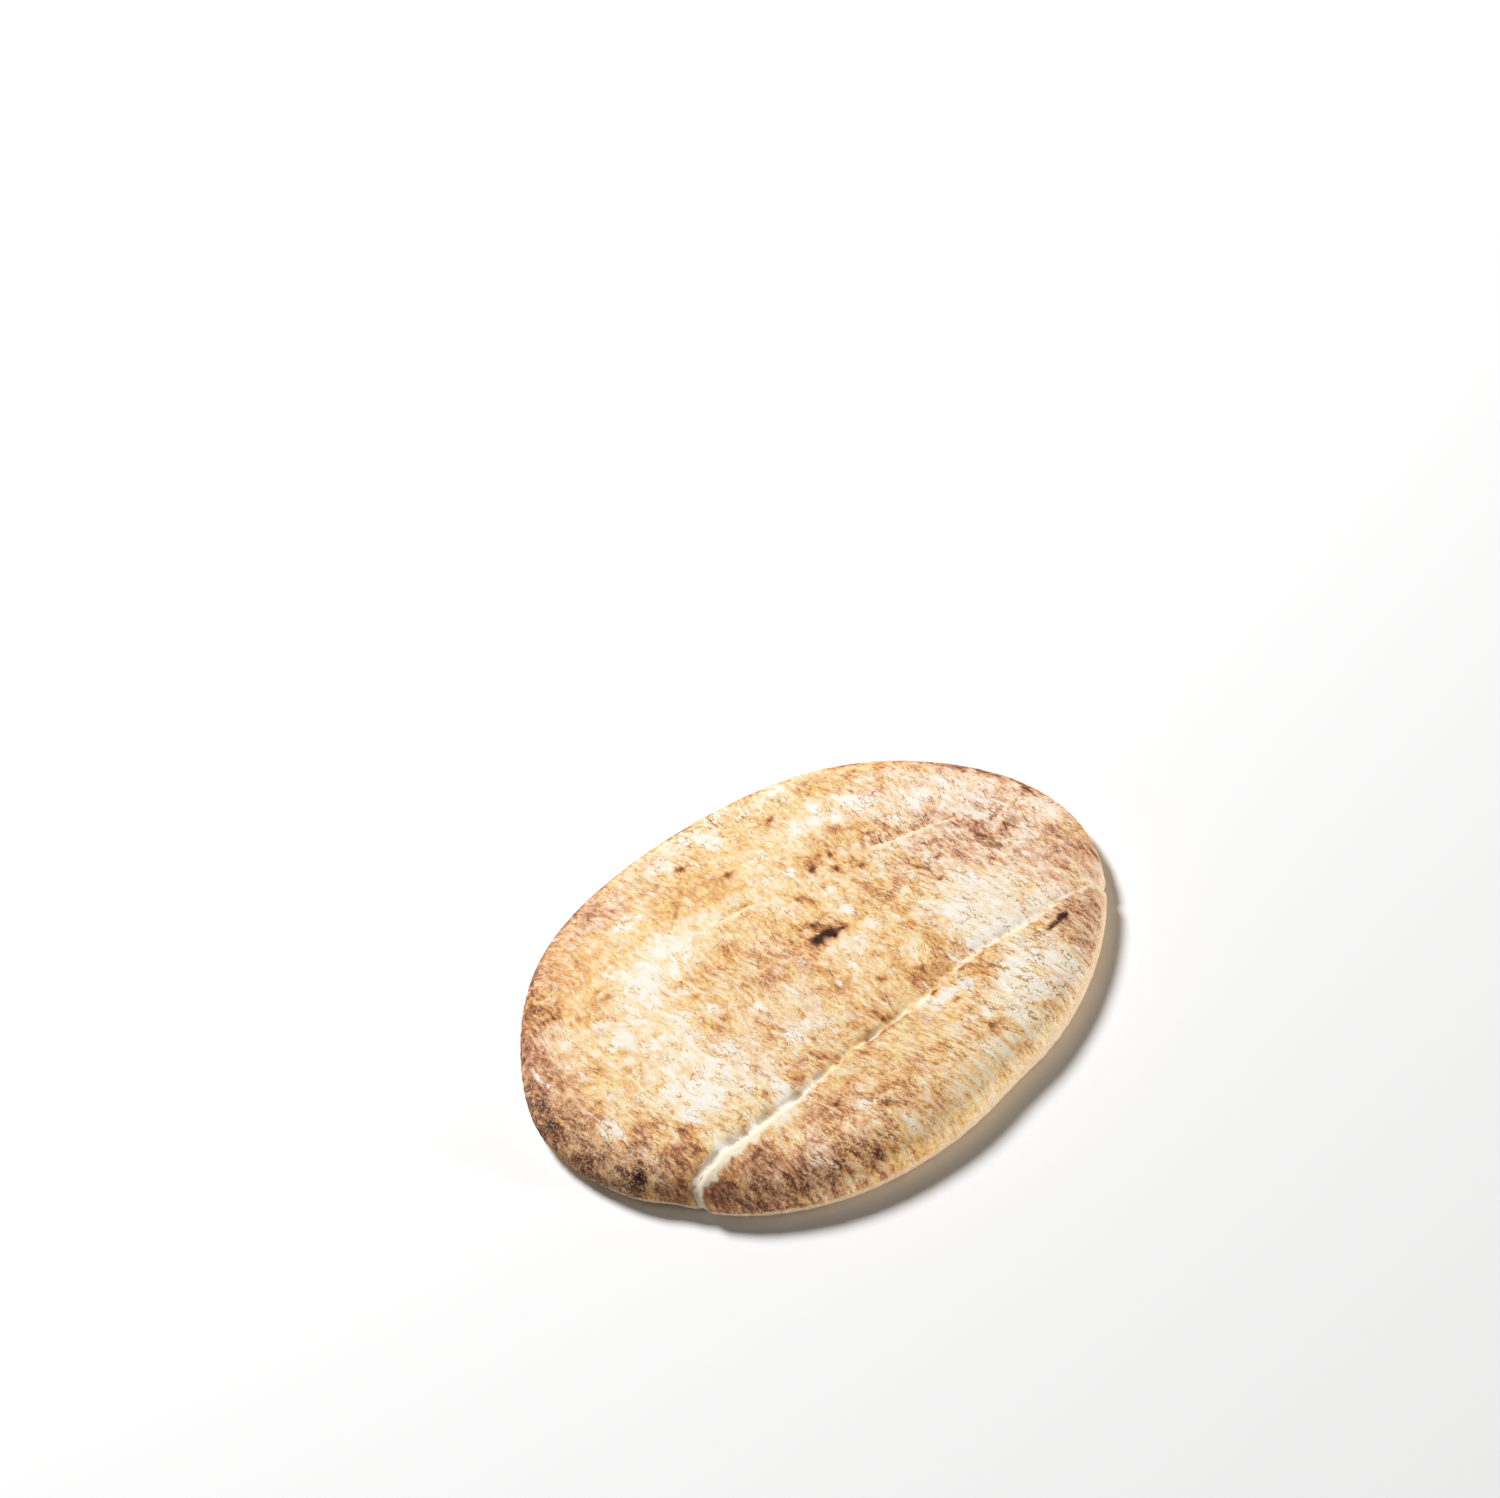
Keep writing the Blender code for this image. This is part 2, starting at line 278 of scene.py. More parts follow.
def turned_in(width, turn):
    """How far in from the edge a roll of this width is, at a turn from the nose."""
    return width * (1.0 - math.cos(math.radians(turn)))


def ring(depth):
    angles = np.arange(RING_POINTS) * (360.0 / RING_POINTS)
    radius = edge_radius(angles) - depth
    return np.column_stack((radius * np.cos(np.radians(angles)), radius * np.sin(np.radians(angles))))


def inside(points, margin):
    """The points that lie further in from the edge than the margin."""
    return points[depth_from_edge(*points.T) > margin]


def lattice(spacing_across, spacing_along, turn, margin):
    """A staggered lattice inside the edge, its rows turned to a direction."""
    reach = 1.1 * MEAN_RADIUS
    rows = np.arange(-reach, reach, spacing_along)
    columns = np.arange(-reach, reach, spacing_across)
    across, along = np.meshgrid(columns, rows)
    across += 0.5 * spacing_across * (np.arange(len(rows)) % 2)[:, None]
    x = across * math.sin(turn) + along * math.cos(turn)
    y = along * math.sin(turn) - across * math.cos(turn)
    return inside(np.column_stack((x.ravel(), y.ravel())), margin)


def fold_rows(fold, reach, margin):
    """Points in rows beside a fold, where it shows and lies inside the margin."""
    line = smooth_route(fold.route, FOLD_POINT_GAP)
    points = []
    travelled = 0.0
    offsets = np.arange(-reach, reach + 0.5 * FOLD_ROW_GAP, FOLD_ROW_GAP)
    for start, end in zip(line, line[1:]):
        along = (end - start).normalized()
        if any(first - SPAN_FADE < travelled < last + SPAN_FADE for first, last in fold.span):
            points.extend((start.x + along.y * offset, start.y - along.x * offset) for offset in offsets)
        travelled += (end - start).length
    return inside(np.array(points), margin)


def cells_of(points, size):
    return np.floor(points / size).astype(int)


def clear_of(points, others, clearance):
    """The points that keep clear of all the others, cell by cell."""
    taken = set(map(tuple, cells_of(others, clearance)))
    return points[[tuple(cell) not in taken for cell in cells_of(points, clearance)]]


def one_in_each_cell(points, size):
    _, first = np.unique(cells_of(points, size), axis=0, return_index=True)
    return points[np.sort(first)]


def triangles_over(points, squeeze):
    """Triangles that fill the ring of the first points, laid as if the streaks were shorter."""
    across, along = turned(*points.T)
    flat = [Vector(point) for point in np.column_stack((across, along * squeeze))]
    _, _, faces, origins, _, _ = delaunay_2d_cdt(flat, [], [list(range(RING_POINTS))], 1, 1e-6)
    return np.array([[origins[corner][0] for corner in face] for face in faces])


def top_layout():
    """Points of the top inside its rings, the innermost of those first."""
    depth = turned_in(TOP_ROLL, TOP_TURNS[-1])
    rows = [fold_rows(fold, reach, depth + FOLD_MARGIN) for fold, reach in zip(FOLDS, FOLD_REACHES)]
    rows = one_in_each_cell(np.concatenate(rows), FOLD_POINT_ROOM)
    field = lattice(PLEAT_SPACING, STREAK_SPACING, STREAK_TURN, depth + TOP_MARGIN)
    return np.concatenate((ring(depth), rows, clear_of(field, rows, FOLD_ROOM)))


def foot_layout():
    field = lattice(FOOT_SPACING, ROW_SHARE * FOOT_SPACING, 0.0, FOOT_ROLL + FOOT_MARGIN)
    return np.concatenate((ring(FOOT_ROLL), field))


def band(lower, upper):
    """Triangles between two rings, each given by the number of its first point."""
    k = np.arange(RING_POINTS)
    after = (k + 1) % RING_POINTS
    first = np.column_stack((lower + k, lower + after, upper + after))
    return np.concatenate((first, np.column_stack((lower + k, upper + after, upper + k))))


def surface():
    """The bread's points, the number of them on the top, and the top's and the foot's triangles."""
    top = [ring(turned_in(TOP_ROLL, turn)) for turn in TOP_TURNS[:-1]] + [top_layout()]
    foot = [ring(turned_in(FOOT_ROLL, turn)) for turn in FOOT_TURNS[1:-1]] + [foot_layout()]
    firsts = [0, *np.cumsum([len(points) for points in top + foot])]
    ups = firsts[:len(top)]
    downs = [0] + firsts[len(top):-1]
    top_faces = [band(outer, inner) for outer, inner in zip(ups, ups[1:])]
    top_faces.append(triangles_over(top[-1], PLEAT_SPACING / STREAK_SPACING * ROW_SHARE) + ups[-1])
    foot_faces = [band(inner, outer) for outer, inner in zip(downs, downs[1:])]
    foot_faces.append(triangles_over(foot[-1], 1.0)[:, ::-1] + downs[-1])
    return np.concatenate(top + foot), downs[1], np.concatenate(top_faces), np.concatenate(foot_faces)


# How deep the pleats are pressed in where no mark changes that, and at most
PLEAT_DEPTH = 0.1
DEEPEST_PLEAT = 0.34
# Marks: middle x, y, half sizes across and along the streaks, and hundredths of strength or depth
PLEAT_MARKS = (
    (-80, -18, 12, 34, 12), (-64, -54, 18, 16, 18), (-10, -82, 60, 12, 22), (62, 15, 22, 24, 24),
    (62, -52, 22, 18, 23), (48, -35, 14, 10, 6), (-80, 40, 8, 24, 10), (34, 31, 30, 9, 12),
    (28, -33, 16, 12, 2), (80, -6, 12, 36, 10), (46, 58, 22, 9, 12), (-20, -43, 30, 14, 14),
    (52, -14, 12, 12, 10), (2, 75, 34, 10, 22), (-10, 2, 18, 14, 12), (34, 4, 14, 14, 16),
    (-58, 29, 13, 12, -10), (-15, 45, 13, 9, -9), (72, -38, 12, 14, 16), (-38, -78, 18, 9, 8),
)

# How brown the crust is where no mark changes that, and the marks that do
TOAST_BASE = 0.315
TOAST_MARKS = (
    # far rim, from the left
    (-59, 66.5, 4, 3, 30), (-51, 73, 5, 2.5, 16), (-45, 75, 4, 2, 18), (-40, 77, 4, 2, 28),
    (-20, 82, 2.6, 2, 38), (-14, 83, 4, 2, 16), (-5, 83.7, 2.4, 1.6, 15), (10, 84.5, 4, 1.6, 18),
    (63, 60, 2.4, 4, 22), (71, 51, 4, 5, 28), (74.6, 44, 1.3, 3.5, 25), (81, 36, 3, 5, 20),
    # upper left and left rim
    (-66, 52, 6, 6, 14), (-54, 59, 4, 4, 12), (-72, 44, 6, 6, 10), (-47, 68, 3, 3, 8), (-75, 36, 6, 5, 12),
    (-62, 33, 9, 9, 14), (-28, 51, 7, 5, 12), (-50, 53, 6, 5, 12), (-60, -11, 6, 6, 10), (-50, 62, 4, 4, 8),
    (-76, 25, 5, 6, 24), (-75.5, 18.7, 4.5, 1.8, 40), (-82.5, 29, 2, 4, 12), (-62, 12, 7, 8, 14),
    (-82, 8, 2.6, 7, 32), (-80, 0, 6, 18, 10), (-85.5, 5, 1.6, 4, 20), (-86, -4, 1.6, 3, 22),
    (-83, -9, 3, 3, 30), (-83, -15, 3, 5, 28), (-83.5, -22, 2.2, 5, 40), (-76, -18, 5, 12, 14),
    (-74, -28, 5, 6, 14), (-81, -29, 4, 5, 22), (-79, -34, 4, 5, 18), (-73, -41, 3, 4, 30),
    (-76, -41, 3, 4, 18), (-67.5, -46, 3, 5, 16), (-62.5, -47, 2.4, 6, 24), (-57, -43, 4.5, 6, 22),
    (-52.5, -57, 3, 5, 32), (-53, -63, 4, 4, 16), (-48.5, -50, 2.5, 3, 22), (-48, -60, 3, 5, 22),
    (-64, -55.5, 5, 5, 26), (-69, -54, 3, 4, 20), (-71.5, -33.5, 2, 3, 14), (-57.5, -25, 4, 6, 7),
    (-66, -14, 4, 5, 12), (-55.5, -17.3, 3.5, 1.8, 16),
    # left of the middle
    (10, 0.5, 8, 5, 16), (8, 7, 4, 4, 12), (1, 5, 7, 7, 10), (2, -8, 6, 6, 6), (-20, 8, 7, 6, 12),
    (20, -1, 4, 4, 12), (-43, -31, 5, 4, 8), (-28.5, 6.5, 2.5, 3, 20), (-19, 12, 1, 3, 20),
    (-6.5, 14, 1.6, 3, 12), (-10, -6, 5, 7, 10), (-9, 3.5, 2, 3, 12), (-33.5, 8, 3, 3, 18),
    (-28, -17, 5, 4, 18), (-18, -23, 1.4, 3, 20), (-15.5, -26.5, 1.3, 3, 16), (-14.5, -29.5, 3, 3, 12),
    (-17, -33, 5, 3, 14), (-33, -24, 3, 6, 10), (-33, -11, 3, 3, 10), (3.5, -13, 3, 7, 12),
    (4, -23.5, 7, 3, 14), (-3, 0.3, 3, 1.6, 12), (-13, -45, 4, 5, 12), (-4.5, -41, 2.5, 5, 16),
    (-5.2, -48.3, 2.2, 3.2, 28), (-13.5, -51, 2, 3, 24), (-24, -52, 1.6, 3, 24), (-24, -42, 2, 4, 18),
    (-38, -54, 5, 5, 6), (-33, -62, 1.3, 2.2, 34),
    # right of the middle
    (5, -41, 3, 6, 16), (11, -39, 3, 6, 15), (14.5, -34, 3, 4, 10), (18, -38, 1.4, 4, 14),
    (27.5, -38, 3.4, 6, 17), (29, -32, 1.6, 2, 20), (24.5, -30, 2, 6, 20), (36.5, -34, 2.4, 5, 26),
    (37.5, -26.5, 4, 4, 18), (42.7, -30, 1.6, 5, 20), (33, -14, 3.5, 4, 18), (32, -5, 2.6, 4, 13),
    (35, -21, 1.6, 3, 16), (28, -6, 1.2, 5, 14), (30, -11, 1.4, 4, 14), (25, -14, 2, 8, 10),
    (26, 14, 3, 5, 15), (29.5, 5, 2.6, 5, 16), (40.7, 14.5, 1, 5, 24), (43.5, 8, 0.9, 4, 22),
    (46, 2.5, 1, 3.5, 22), (39, 5, 2, 3, 12), (38, 17, 1.2, 6, 12), (49.2, 14, 1.2, 4, 14),
    (54, 13, 4, 8, 16), (62, 15, 2.4, 6, 20), (64.6, 8, 2, 5, 26), (64, 6, 2.2, 3, 20),
    (71, 9.5, 3, 1.6, 34), (63.5, -3, 1.3, 2.4, 22), (68.3, -13.5, 1.4, 2.2, 18), (75, -22, 1.6, 6, 20),
    (77.5, -15, 1.8, 6, 20), (84, -5, 4, 8, 15), (84, -12, 3, 4, 16), (81.5, -1.5, 1, 4, 16),
    (88.7, -12, 1.2, 3, 30), (79.5, 14, 1, 4, 14), (57, 2, 4, 8, 6),
    # beyond the back crease
    (56.5, 29, 2.4, 2.4, 14), (41, 32, 6, 2.4, 8), (54, 34, 3, 3, 14), (34.5, 36.5, 4, 4.5, 20),
    (28.5, 43, 4, 4, 18), (14, 33.5, 5, 3, 24), (14.5, 30.5, 1.6, 2, 24), (21.3, 34.5, 1, 3, 26),
    (20, 44, 0.9, 4, 20), (6, 39, 1.6, 4, 20), (4.5, 47.5, 3, 4, 15), (21, 26.3, 1.6, 1.8, 24),
    (27.7, 23, 2, 2.4, 16), (27, 27, 2, 3, 10), (6.5, 20.5, 1, 3, 22), (9.3, 18.5, 0.9, 3, 20),
    (9.3, 62.3, 2.6, 2.2, 24), (25.5, 72.5, 3, 2.6, 22), (28, 65.5, 1.4, 2, 20), (23.5, 68, 2, 4, 12),
    (-16, 77.5, 2, 2.4, 12), (-22, 59.5, 1.8, 1.8, 22), (-15, 45.5, 6, 5, 17), (-25, 43, 3, 3, 16),
    (-29, 38.5, 2, 2.6, 18), (-14, 38, 2.4, 2.6, 10), (46.5, 64, 3, 2.4, 20), (38, 67, 3, 2.4, 10),
    (55, 53, 6, 3.5, 9), (43, 55, 4, 4, 9),
    # strip beyond the fold
    (-43, -76, 9, 6, 26), (-33, -80, 9, 5, 12), (-10, -86, 16, 4, 10), (2, -77, 16, 6, 5),
    (-42, -77, 3, 2.4, 14), (-48.5, -74.5, 2, 2.6, 20), (-39.7, -70, 2.6, 2, 22), (18, -69, 8, 6, 7),
    (-33, -80, 5, 5, 26), (-29.5, -76, 4, 5, 24), (-24.5, -85, 4, 3.5, 30), (-11, -86.5, 7, 3, 32),
    (-3.5, -88, 3, 1.6, 24), (-30.5, -71, 3, 3, 16), (-11.5, -59.8, 2.6, 1.4, 20),
    (9.3, -57.5, 1.8, 2.6, 16), (4.5, -54.3, 2.2, 2.2, 16), (3.5, -77, 2, 2.4, 20), (17, -83, 4, 2.6, 20),
    (10, -78, 4, 4, 15), (44, -42.5, 5, 5, 22), (51.5, -54, 2, 2.6, 16), (58.5, -56, 2, 4, 12),
    (70, -47.5, 3.5, 6, 20), (75.5, -40, 7, 6, 22), (80.5, -32, 4, 4, 34), (75.5, -34, 3.5, 3, 28),
    (54, -66, 3, 3.5, 16), (46.5, -71, 3, 2.4, 20), (40.3, -68, 3, 3.5, 22), (32, -66, 2.4, 3, 13),
    (41, -75, 3, 2, 18), (63, -59.5, 2, 2, 20), (-10, -70, 12, 7, 16), (21, -70, 6, 6, 8),
    (21, -52, 3, 4, 10),
)
# Small dark spots
DOT_MARKS = (
    (-58.7, 19.8, 1.6, 1.1, 38), (-55.7, 16, 1.4, 1.1, 38), (-66.5, 13.5, 0.8, 1.4, 33),
    (-61, 8.2, 1.4, 0.8, 27), (-31.7, -1, 1.3, 1.2, 38), (-67.7, -25, 1.2, 0.9, 27),
    (-35.5, 21, 1.2, 1.3, 16), (-40.3, 57, 1.1, 1.3, 22), (-22, 59.3, 1.4, 1.3, 27),
    (-8.9, 46, 1.4, 1.6, 54), (9.6, 61.8, 1.6, 1.1, 38), (6, 66, 0.9, 1.2, 27), (24.6, 72.5, 1.6, 1.5, 22),
    (36, 58.5, 0.9, 1.6, 27), (45, 58, 0.8, 1.6, 24), (47.3, 63.5, 1.4, 1.3, 22), (-16.5, 27, 1.1, 0.6, 38),
    (-8.2, 28.6, 1.4, 0.8, 33), (-6.2, 27.5, 1, 1, 38), (14.6, 30.6, 1.4, 1.3, 38),
    (21.5, 33.8, 0.8, 1.9, 43), (21.3, 26, 1.2, 1.3, 33), (27.8, 22.6, 1.2, 0.9, 27),
    (10.3, 16.4, 1, 1.1, 27), (48.8, 10, 1.3, 1.1, 56), (46, 0.2, 1, 0.8, 33), (61.4, -23.4, 1.1, 0.8, 38),
    (39, -14, 0.7, 1.5, 27), (18, -28.8, 1.1, 1.7, 54), (-6, -28.5, 1, 1.5, 38), (13.5, -44.3, 1, 1.2, 49),
    (12.3, -41, 0.7, 2.3, 27), (29.3, -44.3, 1.2, 0.8, 54), (33.4, -51.2, 1.1, 1.2, 49),
    (63.2, -37.3, 1.1, 0.8, 38), (-7.7, -68.3, 1.1, 0.9, 54), (-33, -73.3, 1, 1.1, 43),
    (4.6, -70.7, 1.2, 0.9, 33), (7.3, -64.8, 1.2, 1, 22), (3.6, -76.6, 1.2, 1.3, 27),
    (-11.7, -77, 1.1, 0.9, 33), (38.8, -66.4, 1.1, 1, 38), (41.6, -65.8, 1, 1.1, 27),
    (24.4, -83, 0.9, 1, 33), (-3.5, -88.4, 1.6, 1.1, 38), (29.2, -31.6, 1, 1.5, 33),
    (-24, -51.7, 1, 1.7, 16), (7.3, -49, 0.7, 1.1, 56), (-9, -55.2, 0.8, 0.8, 38),
)
# Scorched blisters, and a dark line under the hook
CHAR_MARKS = (
    # the burnt blister in the middle, in two lobes, and the smaller one beyond it
    (6.6, -1.5, 2, 2.6, 100), (10.8, -0.4, 1.8, 2.1, 115), (11.8, -2.6, 1.2, 1.4, 70),
    (14.6, -1, 1.7, 0.9, 70), (9, 0.6, 2.6, 0.9, 45), (7, 6.3, 1.2, 2.8, 42), (8.9, 7, 1.8, 1.2, 36),
    # the left one and the dark left rim
    (-64.3, -56.9, 2, 2.1, 100), (-64.3, -53, 0.9, 2.6, 35), (-67, -56.5, 1.6, 1.6, 35),
    (-83.6, -21.5, 1.3, 4, 65), (-83, -15, 1.4, 3, 35),
    # the one on the strip, which lies across the streaks
    (71.6, -37.6, 1.1, 0.8, 75), (70, -38.4, 1.6, 1.1, 115), (67.2, -40, 2.2, 0.9, 85),
    (65.6, -40.9, 1.8, 0.8, 35),
    # the right rim, and the dark line along the underside of the hook
    (82.2, 24.6, 1.9, 3, 65), (83, 22, 1.4, 2, 30), (82.5, 30, 1.2, 4, 35), (71.5, 9.7, 2.6, 1, 20),
    (88.8, -12, 0.9, 2.4, 35), (74.7, 44, 1, 3, 35),
    # faint ones of the far rim and the strip
    (-58, 67.5, 2.2, 1.4, 35), (-20.5, 82, 1.8, 1.6, 35), (-43, -76.5, 4, 3, 15), (-48, -74, 1.4, 2, 20),
)
# Places where the crust is pale over a wider area
PALE_MARKS = (
    # far half
    (-16, 71, 15, 8, 60), (12, 76, 9, 6, 40), (18, 54, 13, 8, 70), (37, 51, 8, 7, 70), (-44, 43, 7, 6, 30),
    (53, 42, 11, 9, 70), (2, 43, 5, 8, 50), (5, 33, 7, 5, 80), (57, 24, 9, 7, 50), (66, 30, 8, 8, 50),
    (41, 22, 8, 5, 40), (12, 29, 7, 5, 40),
    # left half
    (-42, 20, 13, 13, 100), (-30, 24, 10, 9, 70), (-46, 7, 8, 7, 70), (-63, 3, 9, 7, 60),
    (-53, -4, 10, 8, 50), (-50, -17, 11, 11, 70), (-38, -12, 9, 8, 50), (-38, -33, 12, 13, 90),
    (-27, -42, 9, 7, 60), (-43, -45, 8, 8, 80), (-22, -60, 13, 4, 80), (-39, -61, 7, 4, 70),
    (-10, -32, 8, 6, 90), (-70, -36, 7, 7, 40), (-61, -60, 6, 6, 40),
    # right half
    (18, -10, 9, 6, 40), (8, -18, 9, 7, 40), (3, -37, 9, 6, 40), (31, -19, 7, 5, 40), (17.5, 5, 4, 4, 50),
    (48, -14, 11, 9, 80), (49, -24, 11, 10, 90), (61, -12, 9, 9, 70), (57, -32, 11, 5, 80),
    (72, -27, 8, 4, 80), (66, -1, 7, 7, 30), (84, 14, 3, 8, 50),
    # strip beyond the fold; the four marks of the next line, at its right end, are partly painted light,
    # brightening the end that rolls away from the lamps
    (53, -47, 9, 8, 70), (62, -55, 9, 8, 60), (68, -49, 7, 6, 50), (52, -62, 10, 7, 60),
    (42, -71, 9, 6, 50), (30, -48, 8, 5, 80), (27, -80, 12, 5, 60), (-24, -65, 12, 3, 40),
    (-16.5, -84, 3, 4, 50),
)
# Patches of flour, which have crisp ends
FLOUR_MARKS = (
    # upper left to the top
    (-61.8, 46.3, 1.8, 2.2, 70), (-44.3, 44.5, 2.6, 3, 100), (-42.3, 48.8, 1.4, 2, 80),
    (-38.8, 46, 1.4, 2, 70), (-56, 45.5, 1.6, 3, 50), (-47, 37, 1.6, 3, 60), (-35, 32.5, 3, 3, 60),
    (-37.5, 68, 2.4, 3, 40), (-31, 65.5, 2.4, 3, 70), (-66, 56, 2, 2.5, 40), (-22, 76, 2, 3.5, 60),
    (-15.5, 74.5, 4.5, 2.6, 80), (-11, 70, 2.6, 3.5, 90), (-9, 64, 2.4, 3.5, 90), (-27, 65, 2.6, 3.5, 60),
    (16, 76.5, 2.6, 4, 90), (17, 67.8, 1.4, 2.4, 90), (15, 52.5, 2.2, 3.5, 90), (21.5, 52.5, 2, 2.6, 90),
    (27, 49, 2.4, 3, 70), (23.5, 60, 2, 4, 70), (0.3, 35, 2.2, 1.8, 70), (7.5, 34, 1.7, 1.6, 90),
    (-2.5, 38.5, 2.6, 2, 60), (0.5, 46, 1.6, 3.5, 50), (-20.5, 33, 3, 2, 60), (25.5, 80.5, 1.8, 2.6, 70),
    (-5, 78, 8, 3, 45), (32, 57, 2, 3.5, 80), (38, 49.3, 3.2, 3, 90), (35, 53, 2, 3, 70),
    (53, 41.5, 4.5, 4, 60), (43.5, 36, 1.5, 2.6, 70), (58, 32, 2, 2, 60), (57, 64, 3, 5, 60),
    (44, 74.5, 5, 3, 55), (36, 79, 4, 2, 55), (77, 42, 1.8, 4, 55), (62, 44, 4, 5, 35), (40, 62, 2, 2, 50),
    (65, 38, 5, 5, 35),
    # the broad white band and the left
    (-51, 24.5, 2.4, 3.5, 80), (-47.5, 17, 3, 6, 100), (-44, 12.5, 3.2, 5, 100), (-45, 7, 1.6, 3, 80),
    (-34.5, 27, 3.5, 4.5, 100), (-35, 15, 1.8, 2.6, 80), (-42, 20, 2.6, 4, 80), (-29.5, 24, 2.4, 3, 90),
    (-29.7, 17, 1.6, 2.6, 80), (-61, 5, 2, 3.4, 70), (-73, 4, 2.4, 2, 50), (-73, -5, 1.5, 4, 75),
    (-83, -3, 1.1, 4, 80), (-81, -6.5, 1, 3, 60), (-34.3, 3.5, 2.2, 2.2, 80), (-56, -5, 2.4, 3.6, 70),
    (-48, -12, 2, 3, 60), (-52.5, -24.5, 2, 3, 60), (-37, -17, 3.5, 1.6, 80), (-46, -24, 4, 4, 45),
    (-39, -7, 3, 3, 30), (-67, -38, 3.2, 4.4, 100), (-64, -41, 1.1, 3, 50), (-72, -47.5, 2, 2.4, 50),
    (-58.5, -56, 2, 2.6, 60),
    # the middle
    (17.3, 6.5, 1.6, 2.4, 100), (16, 18, 3.2, 2.2, 95), (18, -8.3, 2.4, 2, 60), (24, -5, 2.4, 3, 50),
    (12, -8, 4, 4, 35), (15, -17, 6, 6, 30), (-29, -9, 3, 2, 70), (-16.3, -16.7, 1.8, 2, 70),
    (-29, -27, 2.6, 4, 85), (-7, -16, 3, 4, 40), (3, 17.5, 2.6, 3, 35), (33.5, 17.5, 1.8, 2.4, 60),
    (38, -8, 2, 3, 40), (45.5, -22, 2, 2.6, 90), (45.5, -15, 3.2, 4, 65), (54, -5, 5, 5, 45),
    (66.5, 20, 1.5, 5, 60), (75, 5, 1.6, 2, 60), (84.5, 15, 2.5, 5, 55), (83, 8, 2, 3, 35),
    (54, -29, 6, 4, 45), (66, -25, 4, 4, 35),
    # along the fold
    (-38.5, -63.8, 4, 1.6, 110), (-30.8, -61.6, 2.6, 1.6, 110), (-20.5, -58.5, 2.2, 2.2, 110),
    (-13, -56.4, 1.6, 1.2, 90), (5, -50.2, 2.4, 1, 80), (-40, -41.5, 3.4, 5, 135), (-45, -47, 1.8, 3.4, 80),
    (-32.5, -34, 2, 3, 70), (-48.5, -34, 2.4, 4, 60), (-44, -33, 3, 4, 50), (-26, -37.7, 1.8, 1.6, 80),
    (-10.5, -34.5, 1.5, 2.4, 90), (-6.5, -33, 1.9, 3, 120), (-36.5, -30, 3, 3, 40), (-20, -51, 1.8, 5, 125),
    (-41, -62.5, 1.2, 2, 100), (39, -36, 2, 3, 60), (47, -33.5, 3, 2.4, 50),
    # strip beyond the fold
    (25.8, -45.2, 2.2, 2, 110), (30, -48.6, 3, 2.6, 80), (37, -47, 2.2, 2.4, 120), (33, -47.2, 2.4, 2, 70),
    (52, -49.5, 3, 3, 120), (47.5, -54, 1.6, 3.4, 110), (56, -47, 3, 3, 50), (66.5, -54, 2.8, 3.4, 30),
    (61, -51, 2.6, 3, 60), (46.5, -65.5, 3, 4, 80), (53, -60, 4, 4, 70), (39, -61, 2.4, 4, 60),
    (0.3, -73, 2.2, 1.6, 90), (8, -85.5, 3, 2.6, 50), (-17.5, -84.5, 3, 2.6, 50), (35, -72, 3, 4, 35),
    (56, -40, 2, 3, 40),
)
# Where the browning is rosy in place of golden
ROSY_MARKS = (
    (66, 18, 28, 30, 100), (76, -40, 16, 22, 80), (81, -12, 9, 12, 60), (-30, -82, 40, 14, 60),
    (-82, -22, 10, 30, 50), (-82, 2, 8, 24, 40), (-80, 10, 9, 16, 50), (-73, 42, 10, 10, 50),
    (-68, -52, 14, 14, 40), (48, 54, 22, 12, 40), (-8, -2, 10, 14, 40), (-16, -32, 24, 18, 45),
    (71, 50, 8, 8, 70), (-52, 58, 14, 10, 90), (-30, 68, 12, 8, 40),
)
# Where the browned crust is flecked with specks of flour
FLECK_MARKS = (
    (-82, -18, 7, 26, 90), (-70, -48, 9, 14, 90), (-58, -60, 9, 8, 80), (-36, -79, 12, 6, 50),
    (-8, -85, 30, 6, 100), (25, -78, 14, 6, 80), (50, -66, 12, 8, 70), (74, -42, 7, 12, 90),
    (80, -32, 6, 4, 80), (84, -4, 6, 14, 50), (-60, 12, 8, 8, 40),
)
# Floors of the hollows behind the main fold, painted greyer: partly the thin stretched crust, partly
# painted shade in the hollows
PIT_MARKS = (
    (-50.5, -68, 1.8, 0.9, 70), (-46.8, -66.6, 2, 1.6, 90), (-43.6, -65.2, 1.5, 1.8, 90),
    (-37.5, -62.9, 1.8, 0.9, 50), (-33.5, -62.8, 1.3, 1.4, 80), (-26.5, -60.2, 2.6, 1.5, 90),
    (-16.5, -58.1, 2.4, 1.3, 80), (-9, -54.8, 1.3, 1.8, 100), (-1.6, -52.4, 1.3, 0.9, 60),
    (9.2, -48.8, 1.9, 1.7, 90), (17.5, -45.9, 2.6, 1.1, 60), (64, -32.4, 1.5, 0.8, 40),
    (68.4, -31.7, 1.3, 0.8, 40),
)
# How browned the rim is: angle round the edge, and strength
RIM_BROWN = (
    (0, 0.1), (20, 0.2), (40, 0.4), (58, 0.6), (72, 0.45), (90, 0.45), (105, 0.5), (120, 0.52), (135, 0.5),
    (150, 0.45), (165, 0.5), (180, 0.5), (198, 0.5), (215, 0.2), (240, 0.3), (258, 0.2), (275, 0.05),
    (300, 0), (340, 0), (360, 0.1),
)
